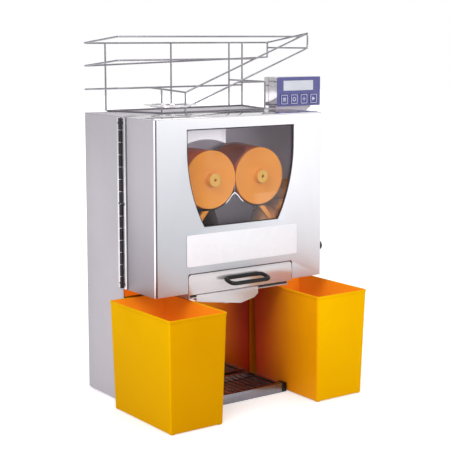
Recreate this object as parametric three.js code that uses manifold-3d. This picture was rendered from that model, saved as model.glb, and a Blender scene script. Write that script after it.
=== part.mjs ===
// An automatic orange juicer for a counter: a stainless housing with its drive, a hinged door over a
// press of four drums, a wire basket for fruit on top, and two bins for the peel in front.
// Millimetres. X runs to the right, Y to the back and Z up. Y = 0 is the front plane of the housing.
import * as THREE from "three";
import { mergeVertices } from "three/addons/utils/BufferGeometryUtils.js";
import Module from "manifold-3d";

const wasm = await Module();
wasm.setup();

// Driving dimensions of the body
const bodyWidth = 448;
const bodyDepth = 159;
const bodyHeight = 633;
const doorDepth = 128.6;
const doorHeight = 373.5;
const doorBottom = bodyHeight - doorHeight;
const sheet = 2;
const bendRadius = 3;
const skirtHeight = 3;
const baseHeight = 5;

// Clearances
const fitGap = 0.3;
const swingGap = 1.5;
const slideGap = 1;
const overrun = 1;

// Driving dimensions of the press
const drumSpacing = 126;
const drumDrop = 136.6;
const drumHeight = bodyHeight - drumDrop;
const pressDepth = 60;
const drumLength = 84;
const drumGap = 0.5;
const cupRadius = 37;
const peelGap = 5;
const cupCount = 3;
const ballCount = 2;
const cupTeeth = 30;
const ballBearing = -Math.PI / 4;
const discThickness = 3;
const hubRadius = 14.5;
const hubLength = 14;
const hubHoleRadius = 3.5;
const hubHoleDepth = 6;
const coreRadius = 16;
const shaftRadius = 8;

// Driving dimensions of the drive
const gearFront = 20;
const gearWidth = 14;
const pinionTeeth = 15;
const pinionBearing = THREE.MathUtils.degToRad(-115);
const pressureAngle = THREE.MathUtils.degToRad(20);
const backlash = 0.5;
const addendumShare = 0.8;
const dedendumShare = 1.15;
const carrierThickness = 9;
const carrierBossRadius = 21;
const framePlateFront = 42;
const framePlateThickness = 5;
const frameMargin = 28;
const pillarRadius = 7;
const shaftTail = 4;

// Materials
const steel = { color: 0xc9c7cb, roughness: 0.32, metalness: 0.9 };
const brightSteel = { color: 0xdedde0, roughness: 0.15, metalness: 1 };
const castMetal = { color: 0x8c8f94, roughness: 0.5, metalness: 0.8 };
const orangePlastic = { color: 0xe88a2c, roughness: 0.4, metalness: 0 };
const amberPlastic = { color: 0xf0a800, roughness: 0.35, metalness: 0 };
const blackPlastic = { color: 0x1b1b1d, roughness: 0.5, metalness: 0 };
const blackRubber = { color: 0x141414, roughness: 0.8, metalness: 0 };
const bluePlastic = { color: 0x5a5b9e, roughness: 0.45, metalness: 0 };
const keyPlastic = { color: 0x4c4d8c, roughness: 0.45, metalness: 0 };
const whitePlastic = { color: 0xf5f5f7, roughness: 0.4, metalness: 0 };
const greyPlastic = { color: 0x4a4b52, roughness: 0.55, metalness: 0 };
const boardGreen = { color: 0x2c6b45, roughness: 0.6, metalness: 0 };
const tintedClear = { color: 0x77747c, roughness: 0.08, metalness: 0, transparent: true, opacity: 0.4 };

// Solids
const weldDistance = 1e-4;
const bendSteps = 2;
const holeSides = 20;
const barSides = 8;

function solidOf(geometry) {
  const bare = geometry.index ? geometry.toNonIndexed() : geometry.clone();
  bare.deleteAttribute("normal");
  bare.deleteAttribute("uv");
  const merged = mergeVertices(bare, weldDistance);
  return new wasm.Manifold(
    new wasm.Mesh({
      numProp: 3,
      vertProperties: merged.attributes.position.array,
      triVerts: new Uint32Array(merged.index.array),
    }),
  );
}

function geometryOf(solid) {
  const made = solid.getMesh();
  const shared = new THREE.BufferGeometry();
  shared.setAttribute("position", new THREE.BufferAttribute(made.vertProperties, made.numProp));
  shared.setIndex(new THREE.BufferAttribute(made.triVerts, 1));
  const flat = shared.toNonIndexed();
  flat.computeVertexNormals();
  return flat;
}

const join = (first, ...others) => others.reduce((sum, next) => sum.add(next), first);
const cut = (first, ...others) => others.reduce((sum, next) => sum.subtract(next), first);

// A box from its lowest to its highest corner.
function box(x0, x1, y0, y1, z0, z1) {
  const geometry = new THREE.BoxGeometry(x1 - x0, y1 - y0, z1 - z0);
  geometry.translate((x0 + x1) / 2, (y0 + y1) / 2, (z0 + z1) / 2);
  return solidOf(geometry);
}

// A shape drawn in X and Y, extruded up from z0 to z1.
function alongZ(shape, z0, z1, steps = bendSteps) {
  const geometry = new THREE.ExtrudeGeometry(shape, { depth: z1 - z0, bevelEnabled: false, curveSegments: steps });
  geometry.translate(0, 0, z0);
  return solidOf(geometry);
}

// A shape drawn in X and Z, extruded back from y0 to y1.
function alongY(shape, y0, y1, steps = bendSteps) {
  const geometry = new THREE.ExtrudeGeometry(shape, { depth: y1 - y0, bevelEnabled: false, curveSegments: steps });
  geometry.rotateX(Math.PI / 2);
  geometry.translate(0, y1, 0);
  return solidOf(geometry);
}

// A shape drawn in Y and Z, extruded to the right from x0 to x1.
function alongX(shape, x0, x1, steps = bendSteps) {
  const geometry = new THREE.ExtrudeGeometry(shape, { depth: x1 - x0, bevelEnabled: false, curveSegments: steps });
  const turn = new THREE.Matrix4();
  turn.makeBasis(new THREE.Vector3(0, 1, 0), new THREE.Vector3(0, 0, 1), new THREE.Vector3(1, 0, 0));
  geometry.applyMatrix4(turn);
  geometry.translate(x0, 0, 0);
  return solidOf(geometry);
}

function outline(points) {
  return new THREE.Shape(points.map(([a, b]) => new THREE.Vector2(a, b)));
}

// A rectangle with its corners rounded, all four or only the upper two.
function roundedRectangle(a0, a1, b0, b1, radius, lowerRadius = radius) {
  const shape = new THREE.Shape();
  const corner = (a, b, r, start) => {
    if (r > 0) shape.absarc(a, b, r, start, start + Math.PI / 2, false);
    else shape.lineTo(a, b);
  };
  shape.moveTo(a0 + lowerRadius, b0);
  corner(a1 - lowerRadius, b0 + lowerRadius, lowerRadius, -Math.PI / 2);
  corner(a1 - radius, b1 - radius, radius, 0);
  corner(a0 + radius, b1 - radius, radius, Math.PI / 2);
  corner(a0 + lowerRadius, b0 + lowerRadius, lowerRadius, Math.PI);
  return shape;
}

function circle(a, b, radius, sides) {
  const points = [];
  for (let i = 0; i < sides; i += 1) {
    const angle = (2 * Math.PI * i) / sides;
    points.push([a + radius * Math.cos(angle), b + radius * Math.sin(angle)]);
  }
  return points;
}

function cylinderAlongY(x, z, y0, y1, radius, sides = holeSides) {
  return alongY(outline(circle(x, z, radius, sides)), y0, y1);
}

function cylinderAlongZ(x, y, z0, z1, radius, sides = holeSides) {
  return alongZ(outline(circle(x, y, radius, sides)), z0, z1);
}

function ball(x, y, z, radius, around = 16, down = 8) {
  const geometry = new THREE.SphereGeometry(radius, around, down);
  geometry.rotateX(Math.PI / 2);
  geometry.translate(x, y, z);
  return solidOf(geometry);
}

// A round rod through the given points, with a small ball at each bend.
function rod(points, radius, sides = 6) {
  const pieces = [];
  for (let i = 1; i < points.length; i += 1) {
    const from = new THREE.Vector3(...points[i - 1]);
    const to = new THREE.Vector3(...points[i]);
    const span = to.clone().sub(from);
    const geometry = new THREE.CylinderGeometry(radius, radius, span.length(), sides);
    const turn = new THREE.Quaternion().setFromUnitVectors(new THREE.Vector3(0, 1, 0), span.clone().normalize());
    geometry.applyQuaternion(turn);
    const middle = from.add(to).divideScalar(2);
    geometry.translate(middle.x, middle.y, middle.z);
    pieces.push(solidOf(geometry));
    if (i < points.length - 1) pieces.push(ball(...points[i], radius, sides, 4));
  }
  return join(...pieces);
}

// Groups
const juicer = new THREE.Group();
const bodies = {};

function body(name, parent = juicer) {
  bodies[name] = new THREE.Group();
  parent.add(bodies[name]);
  return bodies[name];
}

function piece(group, name, solid, look) {
  const mesh = new THREE.Mesh(geometryOf(solid), new THREE.MeshStandardMaterial(look));
  mesh.name = name;
  group.add(mesh);
}

const fixed = body("fixed");
const sides = [
  { name: "left", sign: -1 },
  { name: "right", sign: 1 },
];

// Places that several pieces share
const bodyHalf = bodyWidth / 2;
const bodyRear = bodyDepth;
const shelfUnderside = bodyHeight - sheet;
const innerHalf = bodyHalf - sheet - fitGap;
const baseTop = baseHeight + sheet;
const plateBottom = baseTop + fitGap;
const plateTop = shelfUnderside - fitGap;
const plateThickness = 3;
const doorTop = shelfUnderside - fitGap;
const doorInner = doorDepth - sheet;
const drumRadius = drumSpacing / 2 - drumGap;
const cupPitchRadius = drumSpacing / 2;
const ballPitchRadius = (cupPitchRadius * ballCount) / cupCount;
const ballTeeth = (cupTeeth * ballCount) / cupCount;
const ballRadius = cupRadius - peelGap;
const axisDistance = cupPitchRadius + ballPitchRadius;
const pinionPitchRadius = (cupPitchRadius * pinionTeeth) / cupTeeth;
const drumFront = -pressDepth - drumLength / 2;
const drumRear = -pressDepth + drumLength / 2;
const framePlateRear = framePlateFront + framePlateThickness;
const shaftRear = framePlateRear + shaftTail;

function cupAxis(sign) {
  return { x: (sign * drumSpacing) / 2, z: drumHeight };
}

function ballAxis(sign) {
  const cup = cupAxis(sign);
  return {
    x: cup.x + sign * axisDistance * Math.cos(ballBearing),
    z: cup.z + axisDistance * Math.sin(ballBearing),
  };
}

const pinionAxis = {
  x: cupAxis(1).x + (cupPitchRadius + pinionPitchRadius) * Math.cos(pinionBearing),
  z: cupAxis(1).z + (cupPitchRadius + pinionPitchRadius) * Math.sin(pinionBearing),
};

// Turns an angle of the right half of the press into that of the given half.
const sided = (sign, angle) => (sign > 0 ? angle : Math.PI - angle);

// Inlet
const inletX = -140;
const inletRadius = 41;
const inletSides = 28;
const collarHeightRise = 23.5;
const collarHeight = bodyHeight + collarHeightRise;

// The housing: wrap, shelf over the press, plate behind the press, rear cover, base and feet
const footRadius = 14;
const rearFootInset = 34;
const rearFootX = bodyHalf - rearFootInset;
const rearFootY = 130;
const frontFootX = 80;
const tongueHalf = 100;
const tongueDepth = 118;
const shelfFlange = 24;
const shaftHoleGap = 1.5;
const louvreCount = 6;
const louvreLength = 70;
const louvreHeight = 5;
const louvrePitch = 14;
const louvreTopDrop = 64.5;
const louvreTop = bodyHeight - louvreTopDrop;
const louvreX = 90;

function housing() {
  const wrapOuter = roundedRectangle(-bodyHalf, bodyHalf, skirtHeight, bodyHeight, bendRadius, 0);
  const wrapInner = outline([
    [-bodyHalf + sheet, skirtHeight - overrun],
    [bodyHalf - sheet, skirtHeight - overrun],
    [bodyHalf - sheet, shelfUnderside],
    [-bodyHalf + sheet, shelfUnderside],
  ]);
  const wrapRear = bodyRear - sheet - fitGap;
  const wrap = cut(alongY(wrapOuter, 0, wrapRear), alongY(wrapInner, -overrun, wrapRear + overrun));
  piece(fixed, "housing_wrap", wrap, steel);

  const shelf = join(
    box(-bodyHalf, bodyHalf, -doorDepth, -fitGap, shelfUnderside, bodyHeight),
    box(-innerHalf, innerHalf, -sheet - fitGap, -fitGap, shelfUnderside - shelfFlange, bodyHeight),
  );
  const hole = cylinderAlongZ(inletX, -pressDepth, shelfUnderside - overrun, bodyHeight + overrun, inletRadius, inletSides);
  piece(fixed, "top_shelf", cut(shelf, hole), steel);

  const holes = sides.flatMap(({ sign }) => [cupAxis(sign), ballAxis(sign)]);
  const plateHoles = holes.map(({ x, z }) =>
    cylinderAlongY(x, z, -overrun, plateThickness + overrun, shaftRadius + shaftHoleGap),
  );
  const plate = box(-innerHalf, innerHalf, 0, plateThickness, plateBottom, plateTop);
  piece(fixed, "front_plate", cut(plate, ...plateHoles), brightSteel);

  const cover = box(-bodyHalf, bodyHalf, bodyRear - sheet, bodyRear, skirtHeight, bodyHeight);
  const slots = [];
  for (const { sign } of sides)
    for (let i = 0; i < louvreCount; i += 1) {
      const z = louvreTop - i * louvrePitch;
      const middle = sign * louvreX;
      const x0 = middle - louvreLength / 2;
      const x1 = middle + louvreLength / 2;
      slots.push(box(x0, x1, bodyRear - sheet - overrun, bodyRear + overrun, z - louvreHeight, z));
    }
  const moduleHole = box(
    moduleX - moduleWidth / 2 - fitGap,
    moduleX + moduleWidth / 2 + fitGap,
    bodyRear - sheet - overrun,
    bodyRear + overrun,
    moduleZ - moduleHeight / 2 - fitGap,
    moduleZ + moduleHeight / 2 + fitGap,
  );
  piece(fixed, "rear_cover", cut(cover, ...slots, moduleHole), steel);

  const baseShape = outline([
    [-tongueHalf, -tongueDepth],
    [tongueHalf, -tongueDepth],
    [tongueHalf, 0],
    [innerHalf, 0],
    [innerHalf, bodyRear - sheet - fitGap],
    [-innerHalf, bodyRear - sheet - fitGap],
    [-innerHalf, 0],
    [-tongueHalf, 0],
  ]);
  piece(fixed, "base_plate", alongZ(baseShape, baseHeight, baseTop), steel);

  const footTop = baseHeight - fitGap;
  const frontFootY = -tongueDepth + footRadius;
  for (const { name, sign } of sides) {
    piece(fixed, "foot_rear_" + name, cylinderAlongZ(sign * rearFootX, rearFootY, 0, footTop, footRadius), blackRubber);
    piece(fixed, "foot_front_" + name, cylinderAlongZ(sign * frontFootX, frontFootY, 0, footTop, footRadius), blackRubber);
  }
}

// The mains module in the rear cover, with its rocker
const moduleInset = 74;
const moduleX = bodyHalf - moduleInset;
const moduleZ = 60;
const moduleWidth = 84;
const moduleHeight = 34;
const moduleDepth = 26;
const moduleWall = 4;
const socketDepth = 18;
const socketWidth = 34;
const pinRadius = 1.6;
const pinSpacing = 9;
const rockerWidth = 16;
const rockerHeight = 24;
const rockerPocket = 9;
const rockerThickness = 4;
const rockerTilt = THREE.MathUtils.degToRad(10);

function mainsModule() {
  const front = bodyRear - moduleDepth;
  const x0 = moduleX - moduleWidth / 2;
  const x1 = moduleX + moduleWidth / 2;
  const z0 = moduleZ - moduleHeight / 2;
  const z1 = moduleZ + moduleHeight / 2;
  const socketX = x0 + moduleWall;
  const rockerX = x1 - moduleWall - rockerWidth / 2;
  const block = box(x0, x1, front, bodyRear - fitGap, z0, z1);
  const socket = box(
    socketX,
    socketX + socketWidth,
    bodyRear - socketDepth,
    bodyRear + overrun,
    z0 + moduleWall,
    z1 - moduleWall,
  );
  const pocket = box(
    rockerX - rockerWidth / 2 - fitGap,
    rockerX + rockerWidth / 2 + fitGap,
    bodyRear - rockerPocket,
    bodyRear + overrun,
    moduleZ - rockerHeight / 2 - slideGap,
    moduleZ + rockerHeight / 2 + slideGap,
  );
  const pins = [-1, 0, 1].map((i) =>
    cylinderAlongY(
      socketX + socketWidth / 2 + i * pinSpacing,
      moduleZ,
      bodyRear - socketDepth - overrun,
      bodyRear - moduleWall,
      pinRadius,
      barSides,
    ),
  );
  piece(fixed, "mains_module", join(cut(block, socket, pocket), ...pins), blackPlastic);

  const rockerGroup = body("rocker");
  const half = rockerHeight / 2;
  const rise = Math.tan(rockerTilt) * half;
  const pivotY = bodyRear - rockerPocket + fitGap;
  const turned = (y, z) => [
    pivotY + y * Math.cos(rockerTilt) + z * Math.sin(rockerTilt),
    moduleZ - y * Math.sin(rockerTilt) + z * Math.cos(rockerTilt),
  ];
  const profile = outline([
    turned(0, 0),
    turned(rise, -half),
    turned(rise + rockerThickness, -half),
    turned(rockerThickness, 0),
    turned(rise + rockerThickness, half),
    turned(rise, half),
  ]);
  piece(rockerGroup, "mains_rocker", alongX(profile, rockerX - rockerWidth / 2, rockerX + rockerWidth / 2), greyPlastic);
}

// The door: folded shell with its window and notch, plate, pull and magnet
const windowTopDrop = 24.6;
const windowTop = bodyHeight - windowTopDrop;
const windowBendDrop = 67;
const windowBend = bodyHeight - windowBendDrop;
const windowBottomDrop = 233.8;
const windowBottom = bodyHeight - windowBottomDrop;
const windowHalf = 142.5;
const windowArc = 342;
const windowLip = 8;
const windowThickness = 3;
const windowSteps = 6;
const notchHalf = 141;
const notchTopDrop = 331.5;
const notchTop = bodyHeight - notchTopDrop;
const notchRadius = 5;
const labelHalf = 148.5;
const labelMiddle = 4;
const labelBottomDrop = 316.5;
const labelBottom = bodyHeight - labelBottomDrop;
const labelTopDrop = 248;
const labelTop = bodyHeight - labelTopDrop;
const labelThickness = 1;
const labelRadius = 4;
const pullRadius = 11;
const pullLength = 8;
const pullY = -115;
const pullZDrop = 307.5;
const pullZ = bodyHeight - pullZDrop;
const pullChamfer = 2;
const sensorWidth = 12;
const sensorDepth = 12;
const sensorZDrop = 40.5;
const sensorZ = bodyHeight - sensorZDrop;
const sensorHeight = 20;
const magnetWidth = 7.5;
const hingeClear = 4.5;

// The window's outline, grown all round by a margin.
function windowShape(margin) {
  const half = windowHalf + margin;
  const radius = windowArc + margin;
  const centre = windowHalf - windowArc;
  const bottom = windowBottom - margin;
  const sweep = Math.asin((windowBend - bottom) / radius);
  const points = [[-half, windowTop + margin], [-half, windowBend]];
  for (let i = 1; i <= windowSteps; i += 1) {
    const angle = (sweep * i) / windowSteps;
    points.push([-(centre + radius * Math.cos(angle)), windowBend - radius * Math.sin(angle)]);
  }
  const mirrored = points.map(([x, z]) => [-x, z]).reverse();
  return outline([...points, ...mirrored]);
}

function door() {
  const doorGroup = body("door");
  const outer = new THREE.Shape();
  const cornerX = bodyHalf - bendRadius;
  const cornerY = -doorDepth + bendRadius;
  const innerX = bodyHalf - sheet;
  const innerBend = bendRadius - sheet;
  outer.moveTo(-bodyHalf, -hingeClear);
  outer.absarc(-cornerX, cornerY, bendRadius, Math.PI, 1.5 * Math.PI, false);
  outer.absarc(cornerX, cornerY, bendRadius, -Math.PI / 2, 0, false);
  outer.lineTo(bodyHalf, -swingGap);
  outer.lineTo(innerX, -swingGap);
  outer.absarc(cornerX, cornerY, innerBend, 0, -Math.PI / 2, true);
  outer.absarc(-cornerX, cornerY, innerBend, 1.5 * Math.PI, Math.PI, true);
  outer.lineTo(-innerX, -hingeClear);
  const cutFront = -doorDepth - overrun;
  const cutRear = -doorInner + overrun;
  const opening = alongY(windowShape(0), cutFront, cutRear);
  const notchOutline = roundedRectangle(-notchHalf, notchHalf, doorBottom - overrun, notchTop, notchRadius, 0);
  const notch = alongY(notchOutline, cutFront, cutRear);
  piece(doorGroup, "door_shell", cut(alongZ(outer, doorBottom, doorTop), opening, notch), steel);

  const paneFront = -doorInner + fitGap;
  piece(doorGroup, "door_window", alongY(windowShape(windowLip), paneFront, paneFront + windowThickness), tintedClear);

  const labelOutline = roundedRectangle(
    labelMiddle - labelHalf,
    labelMiddle + labelHalf,
    labelBottom,
    labelTop,
    labelRadius,
  );
  const labelRear = -doorDepth - fitGap;
  piece(doorGroup, "door_plate", alongY(labelOutline, labelRear - labelThickness, labelRear), whitePlastic);

  const pullInner = bodyHalf + fitGap;
  const profile = [
    [0, 0],
    [pullRadius, 0],
    [pullRadius, pullLength - pullChamfer],
    [pullRadius - pullChamfer, pullLength],
    [0, pullLength],
  ];
  const pull = new THREE.LatheGeometry(profile.map(([r, h]) => new THREE.Vector2(r, h)), holeSides);
  pull.rotateZ(-Math.PI / 2);
  pull.translate(pullInner, pullY, pullZ);
  piece(doorGroup, "door_pull", solidOf(pull), blackPlastic);

  const magnetOuter = innerX - fitGap;
  const magnetInner = magnetOuter - magnetWidth;
  const sensorTop = sensorZ + sensorHeight / 2;
  const sensorBottom = sensorZ - sensorHeight / 2;
  const sensorRight = magnetInner - swingGap;
  const magnet = box(magnetInner, magnetOuter, -sensorDepth - swingGap, -swingGap, sensorBottom, sensorTop);
  piece(doorGroup, "door_magnet", magnet, blackPlastic);
  const sensorLeft = sensorRight - sensorWidth;
  const sensor = box(sensorLeft, sensorRight, -sensorDepth - fitGap, -fitGap, sensorBottom, sensorTop);
  piece(fixed, "door_sensor", sensor, blackPlastic);
}

// The piano hinge down the left side: two leaves of knuckles on one pin
const hingeBottomDrop = 373;
const hingeBottom = bodyHeight - hingeBottomDrop;
const hingeTopDrop = 2.6;
const hingeTop = bodyHeight - hingeTopDrop;
const knuckleCount = 14;
const knuckleGap = 0.6;
const barrelRadius = 3.7;
const hingePinRadius = 1.5;
const leafThickness = 1.5;
const leafReach = 17;
const barrelSides = 8;
const hingeX = -(bodyHalf + fitGap + barrelRadius);

function pianoHinge() {
  const leafInner = -bodyHalf - fitGap;
  const leafOuter = leafInner - leafThickness;
  const knuckleLength = (hingeTop - hingeBottom) / knuckleCount;
  const rootReach = hingePinRadius + fitGap;
  const combReach = barrelRadius + slideGap / 2;
  const leaves = [
    { group: fixed, name: "hinge_leaf_body", toward: 1, first: 0 },
    { group: bodies.door, name: "hinge_leaf_door", toward: -1, first: 1 },
  ];
  for (const { group, name, toward, first } of leaves) {
    const spans = [];
    for (let i = first; i < knuckleCount; i += 2) {
      const z0 = hingeBottom + i * knuckleLength + knuckleGap / 2;
      spans.push([z0, z0 + knuckleLength - knuckleGap]);
    }
    const low = Math.min(toward * combReach, toward * leafReach);
    const high = Math.max(toward * combReach, toward * leafReach);
    let leaf = box(leafOuter, leafInner, low, high, hingeBottom, hingeTop);
    for (const [z0, z1] of spans) {
      const from = Math.min(toward * rootReach, toward * (combReach + overrun));
      const to = Math.max(toward * rootReach, toward * (combReach + overrun));
      leaf = join(leaf, box(leafOuter, leafInner, from, to, z0, z1));
      leaf = join(leaf, cylinderAlongZ(hingeX, 0, z0, z1, barrelRadius, barrelSides));
    }
    const reach = toward > 0 ? hingePinRadius : hingePinRadius + fitGap;
    const core = cylinderAlongZ(hingeX, 0, hingeBottom, hingeTop, reach, barrelSides);
    const bore = cylinderAlongZ(hingeX, 0, hingeBottom - overrun, hingeTop + overrun, reach, barrelSides);
    leaf = toward > 0 ? join(leaf, core) : cut(leaf, bore);
    piece(group, name, leaf, steel);
  }
}

// The press: cup drums with their front discs, ball drums, shafts and gears
function gearShape(centre, teeth, pitchRadius, phase) {
  const size = (2 * pitchRadius) / teeth;
  const baseRadius = pitchRadius * Math.cos(pressureAngle);
  const involute = (angle) => Math.tan(angle) - angle;
  const halfAtPitch = Math.PI / (2 * teeth) - backlash / (2 * pitchRadius);
  const halfAngle = (radius) =>
    halfAtPitch + involute(pressureAngle) - involute(Math.acos(baseRadius / Math.max(radius, baseRadius)));
  const radii = [pitchRadius - dedendumShare * size, pitchRadius, pitchRadius + addendumShare * size];
  const points = [];
  for (let i = 0; i < teeth; i += 1) {
    const middle = phase + (2 * Math.PI * i) / teeth;
    for (const radius of radii) points.push([radius, middle - halfAngle(radius)]);
    for (const radius of [...radii].reverse()) points.push([radius, middle + halfAngle(radius)]);
  }
  return outline(
    points.map(([radius, angle]) => [centre.x + radius * Math.cos(angle), centre.z + radius * Math.sin(angle)]),
  );
}

// The phase of a gear that meshes with another, which lies from it at the given bearing.
function meshPhase(phase, teeth, otherTeeth, bearing) {
  return bearing + Math.PI - ((phase - bearing) * teeth) / otherTeeth - Math.PI / otherTeeth;
}

const cupPhaseShift = Math.PI / cupCount;
const ballPhaseShift = Math.PI / ballCount;
const drumSides = 40;

function press() {
  const gearRear = gearFront + gearWidth;
  const bore = shaftRadius + fitGap;
  const discRear = drumFront - fitGap;
  const discFront = discRear - discThickness;
  const hubFront = discFront - hubLength;
  const leftPhase = 0;
  const rightPhase = meshPhase(leftPhase, cupTeeth, cupTeeth, 0);
  for (const { name, sign } of sides) {
    const cupGroup = body("cups_" + name);
    const cup = cupAxis(sign);
    const bearing = sided(sign, ballBearing);
    const drum = cylinderAlongY(cup.x, cup.z, drumFront, drumRear, drumRadius, drumSides);
    const cups = [];
    for (let i = 0; i < cupCount; i += 1) {
      const angle = bearing + cupPhaseShift + (2 * Math.PI * i) / cupCount;
      const x = cup.x + cupPitchRadius * Math.cos(angle);
      const z = cup.z + cupPitchRadius * Math.sin(angle);
      cups.push(ball(x, -pressDepth, z, cupRadius));
    }
    const drumBore = cylinderAlongY(cup.x, cup.z, drumFront - overrun, drumRear + overrun, bore);
    piece(cupGroup, "cup_drum_" + name, cut(drum, ...cups, drumBore), orangePlastic);

    const front = cylinderAlongY(cup.x, cup.z, discFront, discRear, drumRadius, drumSides);
    const hub = cylinderAlongY(cup.x, cup.z, hubFront, discFront + overrun, hubRadius);
    const hubHole = cylinderAlongY(cup.x, cup.z, hubFront - overrun, hubFront + hubHoleDepth, hubHoleRadius, barSides);
    piece(cupGroup, "cup_disc_" + name, cut(join(front, hub), hubHole), orangePlastic);

    const cupShaft = cylinderAlongY(cup.x, cup.z, drumFront, shaftRear, shaftRadius);
    piece(cupGroup, "cup_shaft_" + name, cupShaft, castMetal);
    const phase = sign < 0 ? leftPhase : rightPhase;
    const cupGear = alongY(gearShape(cup, cupTeeth, cupPitchRadius, phase), gearFront, gearRear);
    const gearBore = cylinderAlongY(cup.x, cup.z, gearFront - overrun, gearRear + overrun, bore);
    piece(cupGroup, "cup_gear_" + name, cut(cupGear, gearBore), castMetal);

    const ballGroup = body("balls_" + name);
    const axis = ballAxis(sign);
    const balls = [];
    for (let i = 0; i < ballCount; i += 1) {
      const angle = bearing + Math.PI + ballPhaseShift + (2 * Math.PI * i) / ballCount;
      const x = axis.x + ballPitchRadius * Math.cos(angle);
      const z = axis.z + ballPitchRadius * Math.sin(angle);
      balls.push(ball(x, -pressDepth, z, ballRadius));
    }
    const core = cylinderAlongY(axis.x, axis.z, drumFront, drumRear, coreRadius);
    const coreBore = cylinderAlongY(axis.x, axis.z, drumFront - overrun, drumRear + overrun, bore);
    piece(ballGroup, "ball_drum_" + name, cut(join(core, ...balls), coreBore), orangePlastic);

    const ballPhase = meshPhase(phase, cupTeeth, ballTeeth, bearing);
    const ballGear = alongY(gearShape(axis, ballTeeth, ballPitchRadius, ballPhase), gearFront, gearRear);
    const ballShaft = cylinderAlongY(axis.x, axis.z, drumFront, shaftRear, shaftRadius);
    piece(ballGroup, "ball_shaft_" + name, join(ballGear, ballShaft), castMetal);
  }
  const pinionGroup = body("pinion");
  const pinionPhase = meshPhase(rightPhase, cupTeeth, pinionTeeth, pinionBearing);
  const pinionGear = alongY(gearShape(pinionAxis, pinionTeeth, pinionPitchRadius, pinionPhase), gearFront, gearRear);
  const stub = cylinderAlongY(pinionAxis.x, pinionAxis.z, gearFront, framePlateRear + stubDepth, shaftRadius);
  piece(pinionGroup, "drive_pinion", join(pinionGear, stub), castMetal);
}

// The drive behind the front plate: bearing carrier, drive frame and gear motor
const gearboxHalf = 48;
const gearboxDepth = 58;
const motorRadius = 36;
const motorLength = 128;
const stubDepth = 30;

function drive() {
  const bore = shaftRadius + fitGap;
  const axes = sides.flatMap(({ sign }) => [cupAxis(sign), ballAxis(sign)]);
  const carrierFront = plateThickness + fitGap;
  const carrierRear = carrierFront + carrierThickness;
  const web = outline(
    [cupAxis(-1), cupAxis(1), ballAxis(1), ballAxis(-1)].map(({ x, z }) => [x, z]).reverse(),
  );
  const bosses = axes.map(({ x, z }) => cylinderAlongY(x, z, carrierFront, carrierRear, carrierBossRadius));
  const bores = axes.map(({ x, z }) => cylinderAlongY(x, z, carrierFront - overrun, carrierRear + overrun, bore));
  const carrier = cut(join(alongY(web, carrierFront, carrierRear), ...bosses), ...bores);
  piece(fixed, "bearing_carrier", carrier, castMetal);

  const reach = ballAxis(1).x + frameMargin;
  const low = ballAxis(1).z - ballPitchRadius - frameMargin;
  const high = drumHeight + cupPitchRadius + frameMargin;
  const plate = box(-reach, reach, framePlateFront, framePlateRear, low, high);
  const pillars = [];
  for (const { sign } of sides)
    for (const z of [low + pillarRadius, high - pillarRadius]) {
      const x = sign * (reach - pillarRadius);
      pillars.push(cylinderAlongY(x, z, carrierFront, framePlateFront + overrun, pillarRadius, barSides));
    }
  const frameBores = axes.map(({ x, z }) =>
    cylinderAlongY(x, z, framePlateFront - overrun, framePlateRear + overrun, bore),
  );
  const stubHole = cylinderAlongY(
    pinionAxis.x,
    pinionAxis.z,
    framePlateFront - overrun,
    framePlateRear + overrun,
    bore,
  );
  piece(fixed, "drive_frame", cut(join(plate, ...pillars), ...frameBores, stubHole), steel);

  const boxFront = framePlateRear + fitGap;
  const boxRear = boxFront + gearboxDepth;
  const { x, z } = pinionAxis;
  const gearbox = box(x - gearboxHalf, x + gearboxHalf, boxFront, boxRear, z - gearboxHalf, z + gearboxHalf);
  const motorY = boxRear - motorRadius;
  const motor = cylinderAlongZ(x, motorY, z - gearboxHalf - motorLength, z, motorRadius);
  const shaftHole = cylinderAlongY(x, z, boxFront - overrun, framePlateRear + stubDepth + fitGap, bore);
  const clearFrame = box(
    x - gearboxHalf,
    x + gearboxHalf,
    framePlateFront - motorRadius,
    boxFront,
    z - gearboxHalf - motorLength - overrun,
    z + gearboxHalf,
  );
  piece(fixed, "gear_motor", cut(join(gearbox, motor), shaftHole, clearFrame), greyPlastic);
}

// The wedge with its blade, the two ejectors and the feed chute
const wedgeTipDrop = 167.1;
const wedgeTip = bodyHeight - wedgeTipDrop;
const wedgeGap = 3.5;
const wedgeFirstAngle = THREE.MathUtils.degToRad(214);
const wedgeLastAngle = THREE.MathUtils.degToRad(260);
const wedgeSteps = 5;
const wedgeBottomDrop = 252.5;
const wedgeBottom = bodyHeight - wedgeBottomDrop;
const wedgeFootHalf = 34;
const bladeThickness = 1.5;
const bladeTopDrop = 150.5;
const bladeTop = bodyHeight - bladeTopDrop;
const bladeBottomDrop = 183;
const bladeBottom = bodyHeight - bladeBottomDrop;
const ejectorThickness = 6;
const ejectorWidth = 13;
const ejectorTopPlace = { inward: 65.07, below: -7.67 };
const ejectorKneePlace = { inward: 31.07, below: 34.33 };
const ejectorFootPlace = { inward: 23.07, below: 80.33 };
const slideEndPlace = { inward: -15.93, below: 108.33 };
const besideBalls = ({ inward, below }) => ({ x: ballAxis(1).x - inward, z: ballAxis(1).z - below });
const ejectorTop = besideBalls(ejectorTopPlace);
const ejectorKnee = besideBalls(ejectorKneePlace);
const ejectorFoot = besideBalls(ejectorFootPlace);
const slideEnd = besideBalls(slideEndPlace);
const slideThickness = 4;
const bossRadius = 8;

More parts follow.
